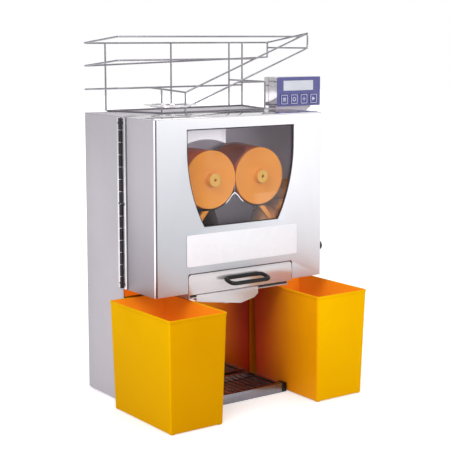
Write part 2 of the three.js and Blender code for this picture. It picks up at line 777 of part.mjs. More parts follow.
function cutters() {
  const reach = drumRadius + wedgeGap;
  const points = [[0, wedgeTip]];
  for (let i = 0; i <= wedgeSteps; i += 1) {
    const angle = wedgeFirstAngle + ((wedgeLastAngle - wedgeFirstAngle) * i) / wedgeSteps;
    points.push([cupAxis(1).x + reach * Math.cos(angle), drumHeight + reach * Math.sin(angle)]);
  }
  points.push([wedgeFootHalf, wedgeBottom]);
  const mirrored = points.slice(1).map(([x, z]) => [-x, z]).reverse();
  const wedge = alongY(outline([...points, ...mirrored].reverse()), drumFront, -fitGap);
  const slotHalf = bladeThickness / 2 + fitGap;
  const slot = box(-slotHalf, slotHalf, drumFront - overrun, drumRear + fitGap, bladeBottom - fitGap, wedgeTip + overrun);
  piece(fixed, "wedge_block", cut(wedge, slot), greyPlastic);

  const half = bladeThickness / 2;
  piece(fixed, "knife_blade", box(-half, half, drumFront, drumRear, bladeBottom, bladeTop), brightSteel);

  for (const { name, sign } of sides) {
    const at = ({ x, z }, dx = 0, dz = 0) => [sign * (x + dx), z + dz];
    const halfWidth = ejectorWidth / 2;
    const arm = outline([
      at(ejectorTop, -halfWidth),
      at(ejectorTop, halfWidth),
      at(ejectorKnee, halfWidth),
      at(ejectorFoot, halfWidth),
      at(slideEnd, 0, slideThickness),
      at(slideEnd),
      at(ejectorFoot, -halfWidth, -slideThickness),
      at(ejectorKnee, -halfWidth),
    ]);
    const slide = outline([
      at(ejectorFoot, halfWidth),
      at(slideEnd, 0, slideThickness),
      at(slideEnd),
      at(ejectorFoot, -halfWidth, -slideThickness),
      at(ejectorFoot, -halfWidth),
    ]);
    const frontArm = alongY(arm, drumFront, drumFront + ejectorThickness);
    const rearArm = alongY(arm, drumRear - ejectorThickness, drumRear);
    const floor = alongY(slide, drumFront, drumRear);
    const boss = cylinderAlongY(
      sign * ejectorFoot.x,
      ejectorFoot.z - slideThickness,
      drumRear - overrun,
      -fitGap,
      bossRadius,
      barSides,
    );
    piece(fixed, "ejector_" + name, join(frontArm, rearArm, floor, boss), orangePlastic);
  }
}

const chuteHalf = 41;
const chuteWall = 2;
const chuteLeft = -188;
const chuteRight = -21.8;
const chuteFrontLeft = -118;
const chuteArcX = -73.5;
const chuteArcDrop = 187.1;
const chuteArcZ = bodyHeight - chuteArcDrop;
const chuteArcRadius = 135.6;
const chuteArcSteps = 8;
const guideTopDrop = 64.5;
const guideTop = bodyHeight - guideTopDrop;
const guideEndDrop = 108.5;
const guideEnd = bodyHeight - guideEndDrop;
const guideRight = -132;

// The chute hangs under the shelf by a flange round the inlet. Its guide at the left holds the fruit
// against the left drum, and its front and rear walls keep it in line over the drum.
function feedChute() {
  const top = plateTop;
  const front = -pressDepth - chuteHalf;
  const rear = -pressDepth + chuteHalf;
  const edge = [];
  for (let i = 0; i <= chuteArcSteps; i += 1) {
    const x = chuteFrontLeft + ((chuteRight - chuteFrontLeft) * i) / chuteArcSteps;
    edge.push([x, chuteArcZ + Math.sqrt(chuteArcRadius ** 2 - (x - chuteArcX) ** 2)]);
  }
  const frontWall = outline([...edge, [chuteRight, top], [chuteFrontLeft, top]]);
  const rearWall = outline([
    [chuteLeft, guideTop - chuteWall],
    [guideRight, guideEnd - chuteWall],
    [guideRight, guideEnd],
    ...edge,
    [chuteRight, top],
    [chuteLeft, top],
  ]);
  const guide = outline([
    [chuteLeft, guideTop - chuteWall],
    [guideRight, guideEnd - chuteWall],
    [guideRight, guideEnd],
    [chuteLeft, guideTop],
  ]);
  const flange = box(chuteLeft, chuteRight, front, rear, top - chuteWall, top);
  const hole = cylinderAlongZ(inletX, -pressDepth, top - chuteWall - overrun, top + overrun, inletRadius, inletSides);
  const chute = join(
    cut(flange, hole),
    alongY(guide, front, rear),
    alongY(rearWall, rear - chuteWall, rear),
    alongY(frontWall, front, front + chuteWall),
    box(chuteLeft, chuteLeft + chuteWall, front, rear, guideTop - chuteWall, top),
  );
  piece(fixed, "feed_chute", chute, whitePlastic);
}

// Filter drawer on its runners, with its loop handle, and the juice trough below it
const drawerTopGap = 2.5;
const drawerSideGap = 4.8;
const drawerRadius = 8;
const drawerBottomDrop = 377.5;
const drawerBottom = bodyHeight - drawerBottomDrop;
const drawerFloorDrop = 374;
const drawerFloor = bodyHeight - drawerFloorDrop;
const drawerRimDrop = 340.5;
const drawerRim = bodyHeight - drawerRimDrop;
const drawerHalf = 130;
const drawerRear = 8;
const drawerWall = 1.5;
const filterSlotCount = 9;
const filterSlotWidth = 6;
const filterMargin = 16;
const handleHalf = 51;
const handleReach = 36;
const handleRadius = 4.5;
const handleZDrop = 349.5;
const handleZ = bodyHeight - handleZDrop;
const handleDrop = 7;
const handleCorner = 13;
const handleSteps = 44;
const handleJoint = 6;
const runnerWeb = 2;
const runnerFlange = 12;
const runnerTopDrop = 374.3;
const runnerTop = bodyHeight - runnerTopDrop;
const runnerBottomDrop = 388.5;
const runnerBottom = bodyHeight - runnerBottomDrop;
const runnerFront = 120;
const runnerHalf = 134;
const troughLeft = -118;
const troughRight = 47;
const troughTopDrop = 379.5;
const troughTop = bodyHeight - troughTopDrop;
const troughFront = 126;
const troughRear = 12;
const troughWall = 2;
const troughRimDrop = 384;
const troughRim = bodyHeight - troughRimDrop;
const troughFlange = 2;
const troughBodyHalf = 116;
const troughDrops = { left: 14, leftKnee: 20, tip: 32, rightKnee: 24, right: 16 };
const troughLip = {
  left: troughTop - troughDrops.left,
  leftKnee: troughTop - troughDrops.leftKnee,
  leftKneeX: -83,
  tip: troughTop - troughDrops.tip,
  tipX: 0,
  rightKnee: troughTop - troughDrops.rightKnee,
  rightKneeX: 36,
  right: troughTop - troughDrops.right,
};
const spoutX = 5;
const spoutRadius = 12;
const spoutBottomDrop = 422.5;
const spoutBottom = bodyHeight - spoutBottomDrop;

function drawer() {
  const group = body("drawer");
  const front = -doorDepth;
  const panelHalf = notchHalf - drawerSideGap;
  const panelTop = notchTop - drawerTopGap;
  const panelOutline = roundedRectangle(-panelHalf, panelHalf, drawerBottom, panelTop, drawerRadius, 0);
  const panel = alongY(panelOutline, front, front + sheet);
  const tubFront = front + sheet - overrun;
  const tub = cut(
    box(-drawerHalf, drawerHalf, tubFront, -drawerRear, drawerFloor, drawerRim),
    box(
      -drawerHalf + drawerWall,
      drawerHalf - drawerWall,
      front + sheet,
      -drawerRear - drawerWall,
      drawerFloor + drawerWall,
      drawerRim + overrun,
    ),
  );
  const slots = [];
  const slotField = troughRight - troughLeft - 2 * filterMargin;
  const slotPitch = slotField / filterSlotCount;
  for (let i = 0; i < filterSlotCount; i += 1) {
    const x = troughLeft + filterMargin + (i + 0.5) * slotPitch;
    const x0 = x - filterSlotWidth / 2;
    const x1 = x + filterSlotWidth / 2;
    slots.push(
      box(x0, x1, front + filterMargin, -drawerRear - filterMargin, drawerFloor - overrun, drawerFloor + drawerWall + overrun),
    );
  }
  piece(group, "filter_drawer", cut(join(panel, tub), ...slots), steel);

  const seat = front - fitGap;
  const backY = seat - handleRadius;
  const frontY = seat - handleReach;
  const at = (x, y) => new THREE.Vector3(x, y, handleZ - (handleDrop * (backY - y)) / (backY - frontY));
  const loop = [at(-handleJoint, backY)];
  for (const [x, y] of [[-handleHalf, backY], [-handleHalf, frontY], [handleHalf, frontY], [handleHalf, backY]]) {
    const alongX = at(x - Math.sign(x) * handleCorner, y);
    const alongSide = at(x, y === backY ? y - handleCorner : y + handleCorner);
    const first = Math.sign(x) * (y - (backY + frontY) / 2) < 0;
    loop.push(first ? alongX : alongSide, at(x, y), first ? alongSide : alongX);
  }
  loop.push(at(handleJoint, backY));
  const path = new THREE.CurvePath();
  for (let i = 0; i + 1 < loop.length; i += 3) {
    path.add(new THREE.LineCurve3(loop[i], loop[i + 1]));
    if (i + 3 < loop.length) path.add(new THREE.QuadraticBezierCurve3(loop[i + 1], loop[i + 2], loop[i + 3]));
  }
  const section = outline(circle(0, 0, handleRadius, barSides));
  const sweep = new THREE.ExtrudeGeometry(section, { extrudePath: path, steps: handleSteps, bevelEnabled: false });
  const bridge = rod([[-2 * handleJoint, backY, handleZ], [2 * handleJoint, backY, handleZ]], handleRadius, barSides);
  const behind = box(-2 * handleHalf, 2 * handleHalf, seat, seat + 2 * handleReach, drawerBottom, notchTop);
  piece(group, "drawer_handle", cut(join(solidOf(sweep), bridge), behind), blackPlastic);
}

function runners() {
  const rail = (sign) => {
    const at = (x, z) => [sign * x, z];
    return outline([
      at(runnerHalf, runnerBottom),
      at(runnerHalf, runnerTop),
      at(runnerHalf - runnerFlange, runnerTop),
      at(runnerHalf - runnerFlange, runnerTop - runnerWeb),
      at(runnerHalf - runnerWeb, runnerTop - runnerWeb),
      at(runnerHalf - runnerWeb, runnerBottom + runnerWeb),
      at(runnerHalf - runnerFlange, runnerBottom + runnerWeb),
      at(runnerHalf - runnerFlange, runnerBottom),
    ]);
  };
  const rails = sides.map(({ sign }) => alongY(rail(sign), -runnerFront, -fitGap));
  const tie = box(-runnerHalf, runnerHalf, -runnerWeb - fitGap, -fitGap, runnerBottom, runnerTop);
  piece(fixed, "drawer_runners", join(...rails, tie), steel);
}

function trough() {
  const group = body("trough");
  const lip = troughLip;
  const front = -troughFront;
  const face = outline([
    [troughLeft, troughTop],
    [troughLeft, lip.left],
    [lip.leftKneeX, lip.leftKnee],
    [lip.tipX, lip.tip],
    [lip.rightKneeX, lip.rightKnee],
    [troughRight, lip.right],
    [troughRight, troughTop],
  ]);
  const rise = troughWall;
  const rim = troughRim;
  const channel = outline([
    [troughLeft + slideGap, rim],
    [troughLeft + slideGap, lip.left + rise],
    [lip.leftKneeX, lip.leftKnee + rise],
    [lip.tipX, lip.tip + rise],
    [lip.rightKneeX, lip.rightKnee + rise],
    [troughRight - slideGap, lip.right + rise],
    [troughRight - slideGap, rim],
  ]);
  const hollow = outline([
    [troughLeft + slideGap + troughWall, troughTop + overrun],
    [troughLeft + slideGap + troughWall, lip.left + rise + troughWall],
    [lip.leftKneeX, lip.leftKnee + rise + troughWall],
    [lip.tipX, lip.tip + rise + troughWall],
    [lip.rightKneeX, lip.rightKnee + rise + troughWall],
    [troughRight - slideGap - troughWall, lip.right + rise + troughWall],
    [troughRight - slideGap - troughWall, troughTop + overrun],
  ]);
  const flangeHalf = runnerHalf - runnerWeb - slideGap;
  const rimBottom = troughRim - troughFlange;
  const flange = box(-flangeHalf, flangeHalf, front + troughWall / 2, -troughRear, rimBottom, troughRim);
  const shell = join(
    alongY(channel, front + troughWall / 2, -troughRear),
    flange,
    alongY(face, front, front + troughWall),
    cylinderAlongZ(spoutX, -pressDepth, spoutBottom, lip.tip + troughWall + rise, spoutRadius),
  );
  const inside = alongY(hollow, front + troughWall, -troughRear - troughWall);
  const bore = cylinderAlongZ(spoutX, -pressDepth, spoutBottom - overrun, troughTop, spoutRadius - troughWall);
  piece(group, "juice_trough", cut(shell, inside, bore), steel);
}

// Drip tray with its fascia, end caps and grille
const trayHalf = 110;
const trayFront = 133.6;
const trayHeight = 22;
const trayGap = 0.6;
const trayRear = 8;
const trayLedge = 2;
const trayWall = 2;
const capWidth = 13.5;
const capDepth = 22;
const grilleThickness = 2;
const grilleSlotCount = 14;
const grilleBar = 2.6;
const grilleMargin = 5;

function dripTray() {
  const group = body("tray");
  const front = -trayFront;
  const floor = baseTop + fitGap;
  const tub = box(-trayHalf, trayHalf, front, -trayRear, floor, trayHeight);
  const fascia = box(-trayHalf, trayHalf, front, front + trayWall, trayGap, trayHeight);
  const inner = trayHalf - trayWall;
  const ledge = inner - trayLedge;
  const grilleBottom = trayHeight - grilleThickness - fitGap;
  const pocket = box(-inner, inner, front + trayWall, -trayRear - trayWall, grilleBottom, trayHeight + overrun);
  const well = box(
    -ledge,
    ledge,
    front + trayWall + trayLedge,
    -trayRear - trayWall - trayLedge,
    floor + trayWall,
    trayHeight + overrun,
  );
  piece(group, "drip_tray", cut(join(tub, fascia), pocket, well), steel);
  for (const { name, sign } of sides) {
    const near = trayHalf + fitGap;
    const far = trayHalf + fitGap + capWidth;
    const cap = box(Math.min(sign * near, sign * far), Math.max(sign * near, sign * far), front, front + capDepth, trayGap, trayHeight);
    piece(group, "tray_cap_" + name, cap, blackPlastic);
  }
  const grilleGroup = body("grille", group);
  const edge = inner - fitGap;
  const y0 = front + trayWall + fitGap;
  const y1 = -trayRear - trayWall - fitGap;
  const plate = box(-edge, edge, y0, y1, grilleBottom + fitGap, trayHeight);
  const slots = [];
  const pitch = (2 * (edge - grilleMargin)) / grilleSlotCount;
  for (let i = 0; i < grilleSlotCount; i += 1) {
    const x = -edge + grilleMargin + (i + 0.5) * pitch;
    const half = (pitch - grilleBar) / 2;
    slots.push(box(x - half, x + half, y0 + grilleMargin, y1 - grilleMargin, grilleBottom, trayHeight + overrun));
  }
  piece(grilleGroup, "drip_grille", cut(plate, ...slots), brightSteel);
}

// Peel bins
const binInner = 121;
const binWidth = 142;
const binFront = 244;
const binDepth = 238;
const binClear = 20.6;
const binHeight = doorBottom - binClear;
const binTaper = 6;
const binWall = 3;
const binCorner = 7;
const binCornerSteps = 3;
const binFootRadius = 9;
const binFootHeight = 2;

// A closed solid between two rounded rectangles, the lower one drawn in by a taper on every side.
function taperedBlock(x0, x1, y0, y1, z0, z1, radius, taper) {
  const ring = (draw) => {
    const shape = roundedRectangle(x0 + draw, x1 - draw, y0 + draw, y1 - draw, radius);
    const points = shape.getPoints(binCornerSteps).map((p) => [p.x, p.y]);
    const [firstX, firstY] = points[0];
    const [lastX, lastY] = points[points.length - 1];
    if (Math.hypot(firstX - lastX, firstY - lastY) < weldDistance) points.pop();
    return points.filter((p, i) => i === 0 || Math.hypot(p[0] - points[i - 1][0], p[1] - points[i - 1][1]) > weldDistance);
  };
  const low = ring(taper).map(([x, y]) => [x, y, z0]);
  const high = ring(0).map(([x, y]) => [x, y, z1]);
  const count = low.length;
  const index = [];
  for (let i = 0; i < count; i += 1) {
    const next = (i + 1) % count;
    index.push(i, next, count + next, i, count + next, count + i);
    if (i > 0 && i < count - 1) {
      index.push(0, i + 1, i);
      index.push(count, count + i, count + i + 1);
    }
  }
  const geometry = new THREE.BufferGeometry();
  geometry.setAttribute("position", new THREE.Float32BufferAttribute([...low, ...high].flat(), 3));
  geometry.setIndex(index);
  return solidOf(geometry);
}

function bins() {
  for (const { name, sign } of sides) {
    const group = body("bin_" + name);
    const x0 = sign > 0 ? binInner : -binInner - binWidth;
    const x1 = x0 + binWidth;
    const y0 = -binFront;
    const y1 = y0 + binDepth;
    const outer = taperedBlock(x0, x1, y0, y1, binFootHeight, binHeight, binCorner, binTaper);
    const floor = binFootHeight + binWall;
    const inner = taperedBlock(
      x0 + binWall,
      x1 - binWall,
      y0 + binWall,
      y1 - binWall,
      floor,
      binHeight + overrun,
      binCorner - binWall,
      binTaper,
    );
    const inset = binTaper + binFootRadius + binWall;
    const feet = [];
    for (const x of [x0 + inset, x1 - inset])
      for (const y of [y0 + inset, y1 - inset])
        feet.push(cylinderAlongZ(x, y, 0, floor - binWall / 2, binFootRadius, barSides));
    piece(group, "peel_bin_" + name, join(cut(outer, inner), ...feet), amberPlastic);
  }
}

// Control case on its bracket over the right edge, with face, keys and board
const caseOverlap = 5;
const caseLeft = bodyHalf - caseOverlap;
const caseWidth = 131;
const caseFront = 30;
const caseDepth = 50;
const caseTopRise = 72.5;
const caseTop = bodyHeight + caseTopRise;
const caseWall = 1.5;
const faceThickness = 1.4;
const bracketThickness = 3;
const bracketWidth = 30;
const bracketReach = 106;
const bracketDrop = 75;
const screenInset = 18.5;
const screenLeft = caseLeft + screenInset;
const screenWidth = 91.5;
const screenRight = screenLeft + screenWidth;
const screenBottomRise = 40;
const screenBottom = bodyHeight + screenBottomRise;
const screenTopRise = 64.5;
const screenTop = bodyHeight + screenTopRise;
const keyCount = 4;
const keyInset = 20;
const keyFirst = caseLeft + keyInset;
const keyPitch = 29.8;
const keyWidth = 21;
const keyHeight = 23;
const keyMiddleRise = 20;
const keyMiddle = bodyHeight + keyMiddleRise;
const keyRadius = 3;
const keyProud = 1.8;
const keyTravel = 1.2;
const boardBack = 9;
const boardThickness = 1.6;

function control() {
  const caseRight = caseLeft + caseWidth;
  const caseBottom = bodyHeight + bracketThickness + 2 * fitGap;
  const faceRear = caseFront;
  const faceFront = caseFront - faceThickness;
  const caseRear = caseFront + caseDepth;
  const bracketMiddle = caseFront + caseDepth / 2;
  const y0 = bracketMiddle - bracketWidth / 2;
  const y1 = bracketMiddle + bracketWidth / 2;
  const legLeft = bodyHalf + fitGap;
  const legRight = legLeft + bracketThickness;
  const armRight = legLeft + bracketReach;
  const armBottom = bodyHeight + fitGap;
  const armTop = armBottom + bracketThickness;
  const bracket = outline([
    [legLeft, armTop],
    [legLeft, armTop - bracketDrop],
    [legRight, armTop - bracketDrop],
    [armRight, armBottom],
    [armRight, armTop],
  ]);
  piece(fixed, "control_bracket", alongY(bracket, y0, y1), steel);

  const shell = cut(
    box(caseLeft, caseRight, faceRear + fitGap, caseRear, caseBottom, caseTop),
    box(
      caseLeft + caseWall,
      caseRight - caseWall,
      faceRear - overrun,
      caseRear - caseWall,
      caseBottom + caseWall,
      caseTop - caseWall,
    ),
  );
  piece(fixed, "control_case", shell, brightSteel);

  const key = (i, margin) => {
    const x = keyFirst + i * keyPitch;
    const halfX = keyWidth / 2 + margin;
    const halfZ = keyHeight / 2 + margin;
    return roundedRectangle(x - halfX, x + halfX, keyMiddle - halfZ, keyMiddle + halfZ, keyRadius);
  };
  const holes = [];
  for (let i = 0; i < keyCount; i += 1)
    holes.push(alongY(key(i, fitGap), faceFront - overrun, faceRear + overrun));
  const screen = box(screenLeft, screenRight, faceFront - overrun, faceRear + overrun, screenBottom, screenTop);
  const face = box(caseLeft, caseRight, faceFront, faceRear, caseBottom, caseTop);
  piece(fixed, "control_face", cut(face, screen, ...holes), bluePlastic);

  for (let i = 0; i < keyCount; i += 1) {
    const group = body("key_" + (i + 1));
    const cap = alongY(key(i, 0), faceFront - keyProud, faceRear + fitGap);
    const flange = alongY(key(i, slideGap), faceRear + fitGap, faceRear + 2 * fitGap + slideGap);
    piece(group, "key_cap_" + (i + 1), join(cap, flange), keyPlastic);
  }

  const boardFront = faceRear + boardBack;
  const margin = caseWall + fitGap;
  const board = box(
    caseLeft + margin,
    caseRight - margin,
    boardFront,
    boardFront + boardThickness,
    caseBottom + margin,
    caseTop - margin,
  );
  const display = box(
    screenLeft + fitGap,
    screenRight - fitGap,
    faceRear - faceThickness / 2,
    boardFront + overrun,
    screenBottom + fitGap,
    screenTop - fitGap,
  );
  const switchFront = faceRear + 2 * fitGap + slideGap + keyTravel + fitGap;
  const switches = [];
  for (let i = 0; i < keyCount; i += 1) {
    const x = keyFirst + i * keyPitch;
    const half = keyRadius;
    switches.push(box(x - half, x + half, switchFront, boardFront + overrun, keyMiddle - half, keyMiddle + half));
  }
  piece(fixed, "control_board", join(board, display, ...switches), boardGreen);
}

// Wire basket with its collar round the inlet
const wireRadius = 2;
const basketFront = 8;
const basketBack = 150;
const basketDrops = { low: 7, middle: 14.5, top: 14.5 };
const basketOverhang = 1;
const basketLeft = -bodyHalf - basketOverhang;
const basketFlare = 5;
const basketRise = { low: 58.5, middle: 117.5, top: 167.5 };
const basketLevels = {
  low: bodyHeight + basketRise.low,
  middle: bodyHeight + basketRise.middle,
  top: bodyHeight + basketRise.top,
};
const basketReach = 68;
const basketEnd = bodyHalf + basketReach;
const basketBackReach = 58;
const basketBackEnd = bodyHalf + basketBackReach;
const slopeStart = -55;
const slopeUpperLowRise = 45.5;
const slopeUpperLow = bodyHeight + slopeUpperLowRise;
const slopeUpperHighRise = 175;
const slopeUpperHigh = bodyHeight + slopeUpperHighRise;
const slopeLowerLowRise = 11.5;
const slopeLowerLow = bodyHeight + slopeLowerLowRise;
const slopeLowerHighRise = 140.5;
const slopeLowerHigh = bodyHeight + slopeLowerHighRise;
const dipX = -147;
const innerLegX = -117;
const legInsets = { left: 49, guard: 58, right: 19 };
const guardRight = bodyHalf - legInsets.guard;
const backLegs = [-bodyHalf + legInsets.left, 0, guardRight, bodyHalf - legInsets.right];
const guardHeightRise = 64.5;
const guardHeight = bodyHeight + guardHeightRise;
const collarOuter = 57;
const collarThickness = 1.5;
const collarHole = 38;

function basket() {
  const group = body("basket");
  const foot = bodyHeight + fitGap + wireRadius;
  const upperAt = (x) =>
    slopeUpperLow + ((slopeUpperHigh - slopeUpperLow) * (x - slopeStart)) / (basketEnd - slopeStart);
  const lowerAt = (x) =>
    slopeLowerLow + ((slopeLowerHigh - slopeLowerLow) * (x - slopeStart)) / (basketEnd - slopeStart);
  const upperX = (z) =>
    slopeStart + ((z - slopeUpperLow) * (basketEnd - slopeStart)) / (slopeUpperHigh - slopeUpperLow);
  const lowerX = (z) =>
    slopeStart + ((z - slopeLowerLow) * (basketEnd - slopeStart)) / (slopeLowerHigh - slopeLowerLow);
  const front = basketFront;
  const back = basketBack;
  const backLeft = basketLeft - basketFlare;
  const wires = [];
  const wire = (...points) => wires.push(rod(points, wireRadius));
  const { low, middle, top } = basketLevels;
  wire([upperX(top), front, top], [basketLeft, front, top], [backLeft, back, top - basketDrops.top],
    [basketBackEnd, back, top - basketDrops.top], [basketEnd, front, upperAt(basketEnd)]);
  wire([upperX(middle), front, middle], [basketLeft, front, middle], [backLeft, back, middle - basketDrops.middle],
    [basketBackEnd, back, middle]);
  wire([basketBackEnd, back, lowerAt(basketEnd)], [basketEnd, front, lowerAt(basketEnd)]);
  wire([dipX, front, low], [basketLeft, front, low], [backLeft, back, low - basketDrops.low],
    [backLegs[3], back, low - basketDrops.low]);
  wire([dipX, front, low], [slopeStart, front, slopeUpperLow], [basketEnd, front, upperAt(basketEnd)],
    [basketEnd, front, lowerAt(basketEnd)], [slopeStart, front, slopeLowerLow]);
  wire([basketBackEnd, back, top - basketDrops.top], [basketBackEnd, back, middle]);
  wire([lowerX(guardHeight), front, guardHeight], [guardRight, front, guardHeight], [guardRight, back, guardHeight]);
  wire([guardRight, front, guardHeight], [guardRight, front, foot]);
  wire([slopeStart, front, slopeUpperLow], [slopeStart, front, foot]);
  const share = (innerLegX - dipX) / (slopeStart - dipX);
  const legTop = low + (slopeUpperLow - low) * share;
  wire([innerLegX, front, legTop], [innerLegX, front, foot]);
  for (const x of backLegs) wire([x, back, top - basketDrops.top], [x, back, foot]);
  wire([innerLegX, front, foot], [guardRight, front, foot], [backLegs[3], back, foot], [backLegs[0], back, foot],
    [innerLegX, front, foot]);
  const stayHeight = collarHeight - wireRadius - fitGap;
  const ringRadius = collarHole + wireRadius + slideGap;
  const stayEnd = ringRadius + wireRadius + fitGap;
  const stay = (x) => {
    const dx = x - inletX;
    const dy = front + pressDepth;
    const reach = Math.hypot(dx, dy);
    return [inletX + (dx * stayEnd) / reach, -pressDepth + (dy * stayEnd) / reach, stayHeight];
  };
  for (const x of [innerLegX, slopeStart]) wire([x, front, stayHeight], stay(x));
  piece(group, "basket_frame", join(...wires), brightSteel);

  const collarTop = collarHeight + collarThickness;
  const flange = cylinderAlongZ(inletX, -pressDepth, collarHeight, collarTop, collarOuter, inletSides);
  const hole = cylinderAlongZ(inletX, -pressDepth, collarHeight - overrun, collarTop + overrun, collarHole, inletSides);
  const ring = new THREE.TorusGeometry(ringRadius, wireRadius, 6, inletSides);
  ring.translate(inletX, -pressDepth, collarHeight - wireRadius + fitGap);
  piece(group, "feed_collar", join(cut(flange, hole), solidOf(ring)), steel);
}

housing();
mainsModule();
door();
pianoHinge();
press();
drive();
cutters();
feedChute();
drawer();
runners();
trough();
dripTray();
bins();
control();
basket();

// The origin is the middle of the box's underside.
const leftReach = binInner + binWidth;
const rightReach = caseLeft + caseWidth;
juicer.position.set((leftReach - rightReach) / 2, (binFront - bodyRear) / 2, 0);

const part = new THREE.Group();
part.add(juicer);

export default part;
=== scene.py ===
# A countertop citrus juicer, dressed for its picture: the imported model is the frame, and rounded sheet,
# wire, moulded plastic and glass are laid over it. Lengths are in millimetres until a point is placed.
import math
import bpy
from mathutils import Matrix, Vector


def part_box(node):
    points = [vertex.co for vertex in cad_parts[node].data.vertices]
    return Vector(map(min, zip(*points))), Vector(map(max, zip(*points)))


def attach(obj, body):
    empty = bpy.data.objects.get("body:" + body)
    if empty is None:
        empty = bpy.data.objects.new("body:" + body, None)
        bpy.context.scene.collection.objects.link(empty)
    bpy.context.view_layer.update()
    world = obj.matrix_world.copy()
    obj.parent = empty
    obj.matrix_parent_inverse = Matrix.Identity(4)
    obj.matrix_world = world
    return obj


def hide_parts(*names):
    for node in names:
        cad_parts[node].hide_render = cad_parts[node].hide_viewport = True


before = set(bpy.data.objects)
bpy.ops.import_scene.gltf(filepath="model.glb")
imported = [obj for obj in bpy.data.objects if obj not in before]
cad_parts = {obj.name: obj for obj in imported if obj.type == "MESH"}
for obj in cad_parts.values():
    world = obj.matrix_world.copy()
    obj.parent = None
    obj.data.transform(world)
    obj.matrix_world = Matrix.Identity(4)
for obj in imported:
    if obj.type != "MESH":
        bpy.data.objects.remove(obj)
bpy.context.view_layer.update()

PER_METRE = 1000
# The machine's own middle, seen from the middle of the whole object's box
SIDEWAYS, BACKWARDS = -43.5, 42.5
AXES = {"X": Vector((1, 0, 0)), "Y": Vector((0, 1, 0)), "Z": Vector((0, 0, 1))}


def at(x, y, z):
    return Vector((x + SIDEWAYS, y + BACKWARDS, z)) / PER_METRE


def measured(point):
    """A placed point in millimetres from the machine's own middle."""
    return point.x * PER_METRE - SIDEWAYS, point.y * PER_METRE - BACKWARDS, point.z * PER_METRE


# --- Working habits ---

# The first in metres, the others in degrees
WELD, FLAT_WITHIN, SHARP_FROM, SMOOTH_UP_TO = 1e-6, 0.6, 35, 32


def clear():
    if bpy.context.mode != "OBJECT":
        bpy.ops.object.mode_set(mode="OBJECT")
    bpy.ops.object.select_all(action="DESELECT")


def take(piece):
    clear()
    piece.select_set(True)
    bpy.context.view_layer.objects.active = piece


def edit(piece):
    take(piece)
    bpy.ops.object.mode_set(mode="EDIT")
    bpy.ops.mesh.select_mode(type="FACE")
    bpy.ops.mesh.select_all(action="SELECT")


def leave():
    bpy.ops.object.mode_set(mode="OBJECT")


def started(name):
    piece = bpy.context.active_object
    piece.name = piece.data.name = name
    take(piece)
    bpy.ops.object.transform_apply(location=True, rotation=True, scale=True)
    return piece


def outward(piece):
    edit(piece)
    bpy.ops.mesh.remove_doubles(threshold=WELD)
    bpy.ops.mesh.normals_make_consistent(inside=False)
    leave()
    return piece


def applied(piece, kind, **values):
    take(piece)
    modifier = piece.modifiers.new(kind, kind)
    for key, value in values.items():
        setattr(modifier, key, value)
    bpy.ops.object.modifier_apply(modifier=modifier.name)
    return piece


def soften(piece, width, steps=2, angle=SHARP_FROM):
    return applied(piece, "BEVEL", width=width / PER_METRE, segments=steps, limit_method="ANGLE",
                   angle_limit=math.radians(angle))


def carve(piece, *tools):
    for tool in tools:
        applied(piece, "BOOLEAN", operation="DIFFERENCE", object=tool, solver="EXACT")
        bpy.data.objects.remove(tool)
    return piece


def together(piece, *others):
    take(piece)
    for other in others:
        other.select_set(True)
    bpy.ops.object.join()
    return piece


def joined(pieces, name):
    """Several alike pieces as one, under one name."""
    piece = together(*pieces)
    piece.name = piece.data.name = name
    return piece


def coat(piece, *looks):
    for look in looks:
        piece.data.materials.append(look)
    return piece


# --- Stock shapes ---

def block(name, low, high):
    a, b = at(*low), at(*high)
    clear()
    bpy.ops.mesh.primitive_cube_add(size=1, location=(a + b) / 2, scale=b - a)
    return started(name)


def rod(name, start, end, radius, sides):
    a, b = at(*start), at(*end)
    clear()
    turn = (b - a).to_track_quat("Z", "Y").to_euler()
    bpy.ops.mesh.primitive_cylinder_add(vertices=sides, radius=radius / PER_METRE, depth=(b - a).length,
                                        location=(a + b) / 2, rotation=turn)
    return started(name)


def globe(name, centre, radius, segments=48, rings=28):
    clear()
    bpy.ops.mesh.primitive_uv_sphere_add(segments=segments, ring_count=rings, radius=radius / PER_METRE,
                                         location=at(*centre))
    return started(name)


def across(a, b, c, along):
    """A point from its two coordinates in the plane and its depth along the axis."""
    return {"X": at(c, a, b), "Y": at(a, c, b), "Z": at(a, b, c)}[along]


def loft(name, low_outline, high_outline, along, low, high):
    """A closed piece between two outlines with the same number of points."""
    clear()
    bpy.ops.mesh.primitive_circle_add(vertices=len(low_outline), radius=1, fill_type="NGON")
    piece = started(name)
    for vertex, (a, b) in zip(piece.data.vertices, low_outline):
        vertex.co = across(a, b, low, along)
    edit(piece)
    bpy.ops.mesh.extrude_region_move(TRANSFORM_OT_translate={"value": AXES[along] * (high - low) / PER_METRE})
    leave()
    if high_outline is not low_outline:
        raised = [across(*point, high, along) for point in low_outline]
        for vertex in list(piece.data.vertices)[len(low_outline):]:
            nearest = min(range(len(raised)), key=lambda i: (raised[i] - vertex.co).length)
            vertex.co = across(*high_outline[nearest], high, along)
    return outward(piece)


def plate(name, outline, along, low, high):
    return loft(name, outline, outline, along, low, high)


def arc(a, b, radius, start, end, steps):
    """Points round the centre (a, b), from one angle to another in degrees."""
    angles = [math.radians(start + (end - start) * i / steps) for i in range(steps + 1)]
    return [(a + radius * math.cos(t), b + radius * math.sin(t)) for t in angles]


def rounded(a0, a1, b0, b1, radius, lower=None, steps=6):
    """A rectangle with round corners, the two lower ones with a radius of their own where one is given."""
    low = radius if lower is None else lower
    corners = [(a0 + low, b0 + low, low, 180), (a1 - low, b0 + low, low, 270),
               (a1 - radius, b1 - radius, radius, 0), (a0 + radius, b1 - radius, radius, 90)]
    points = []
    for a, b, r, start in corners:
        points += arc(a, b, r, start, start + 90, steps) if r > 0 else [(a, b)]
    return points


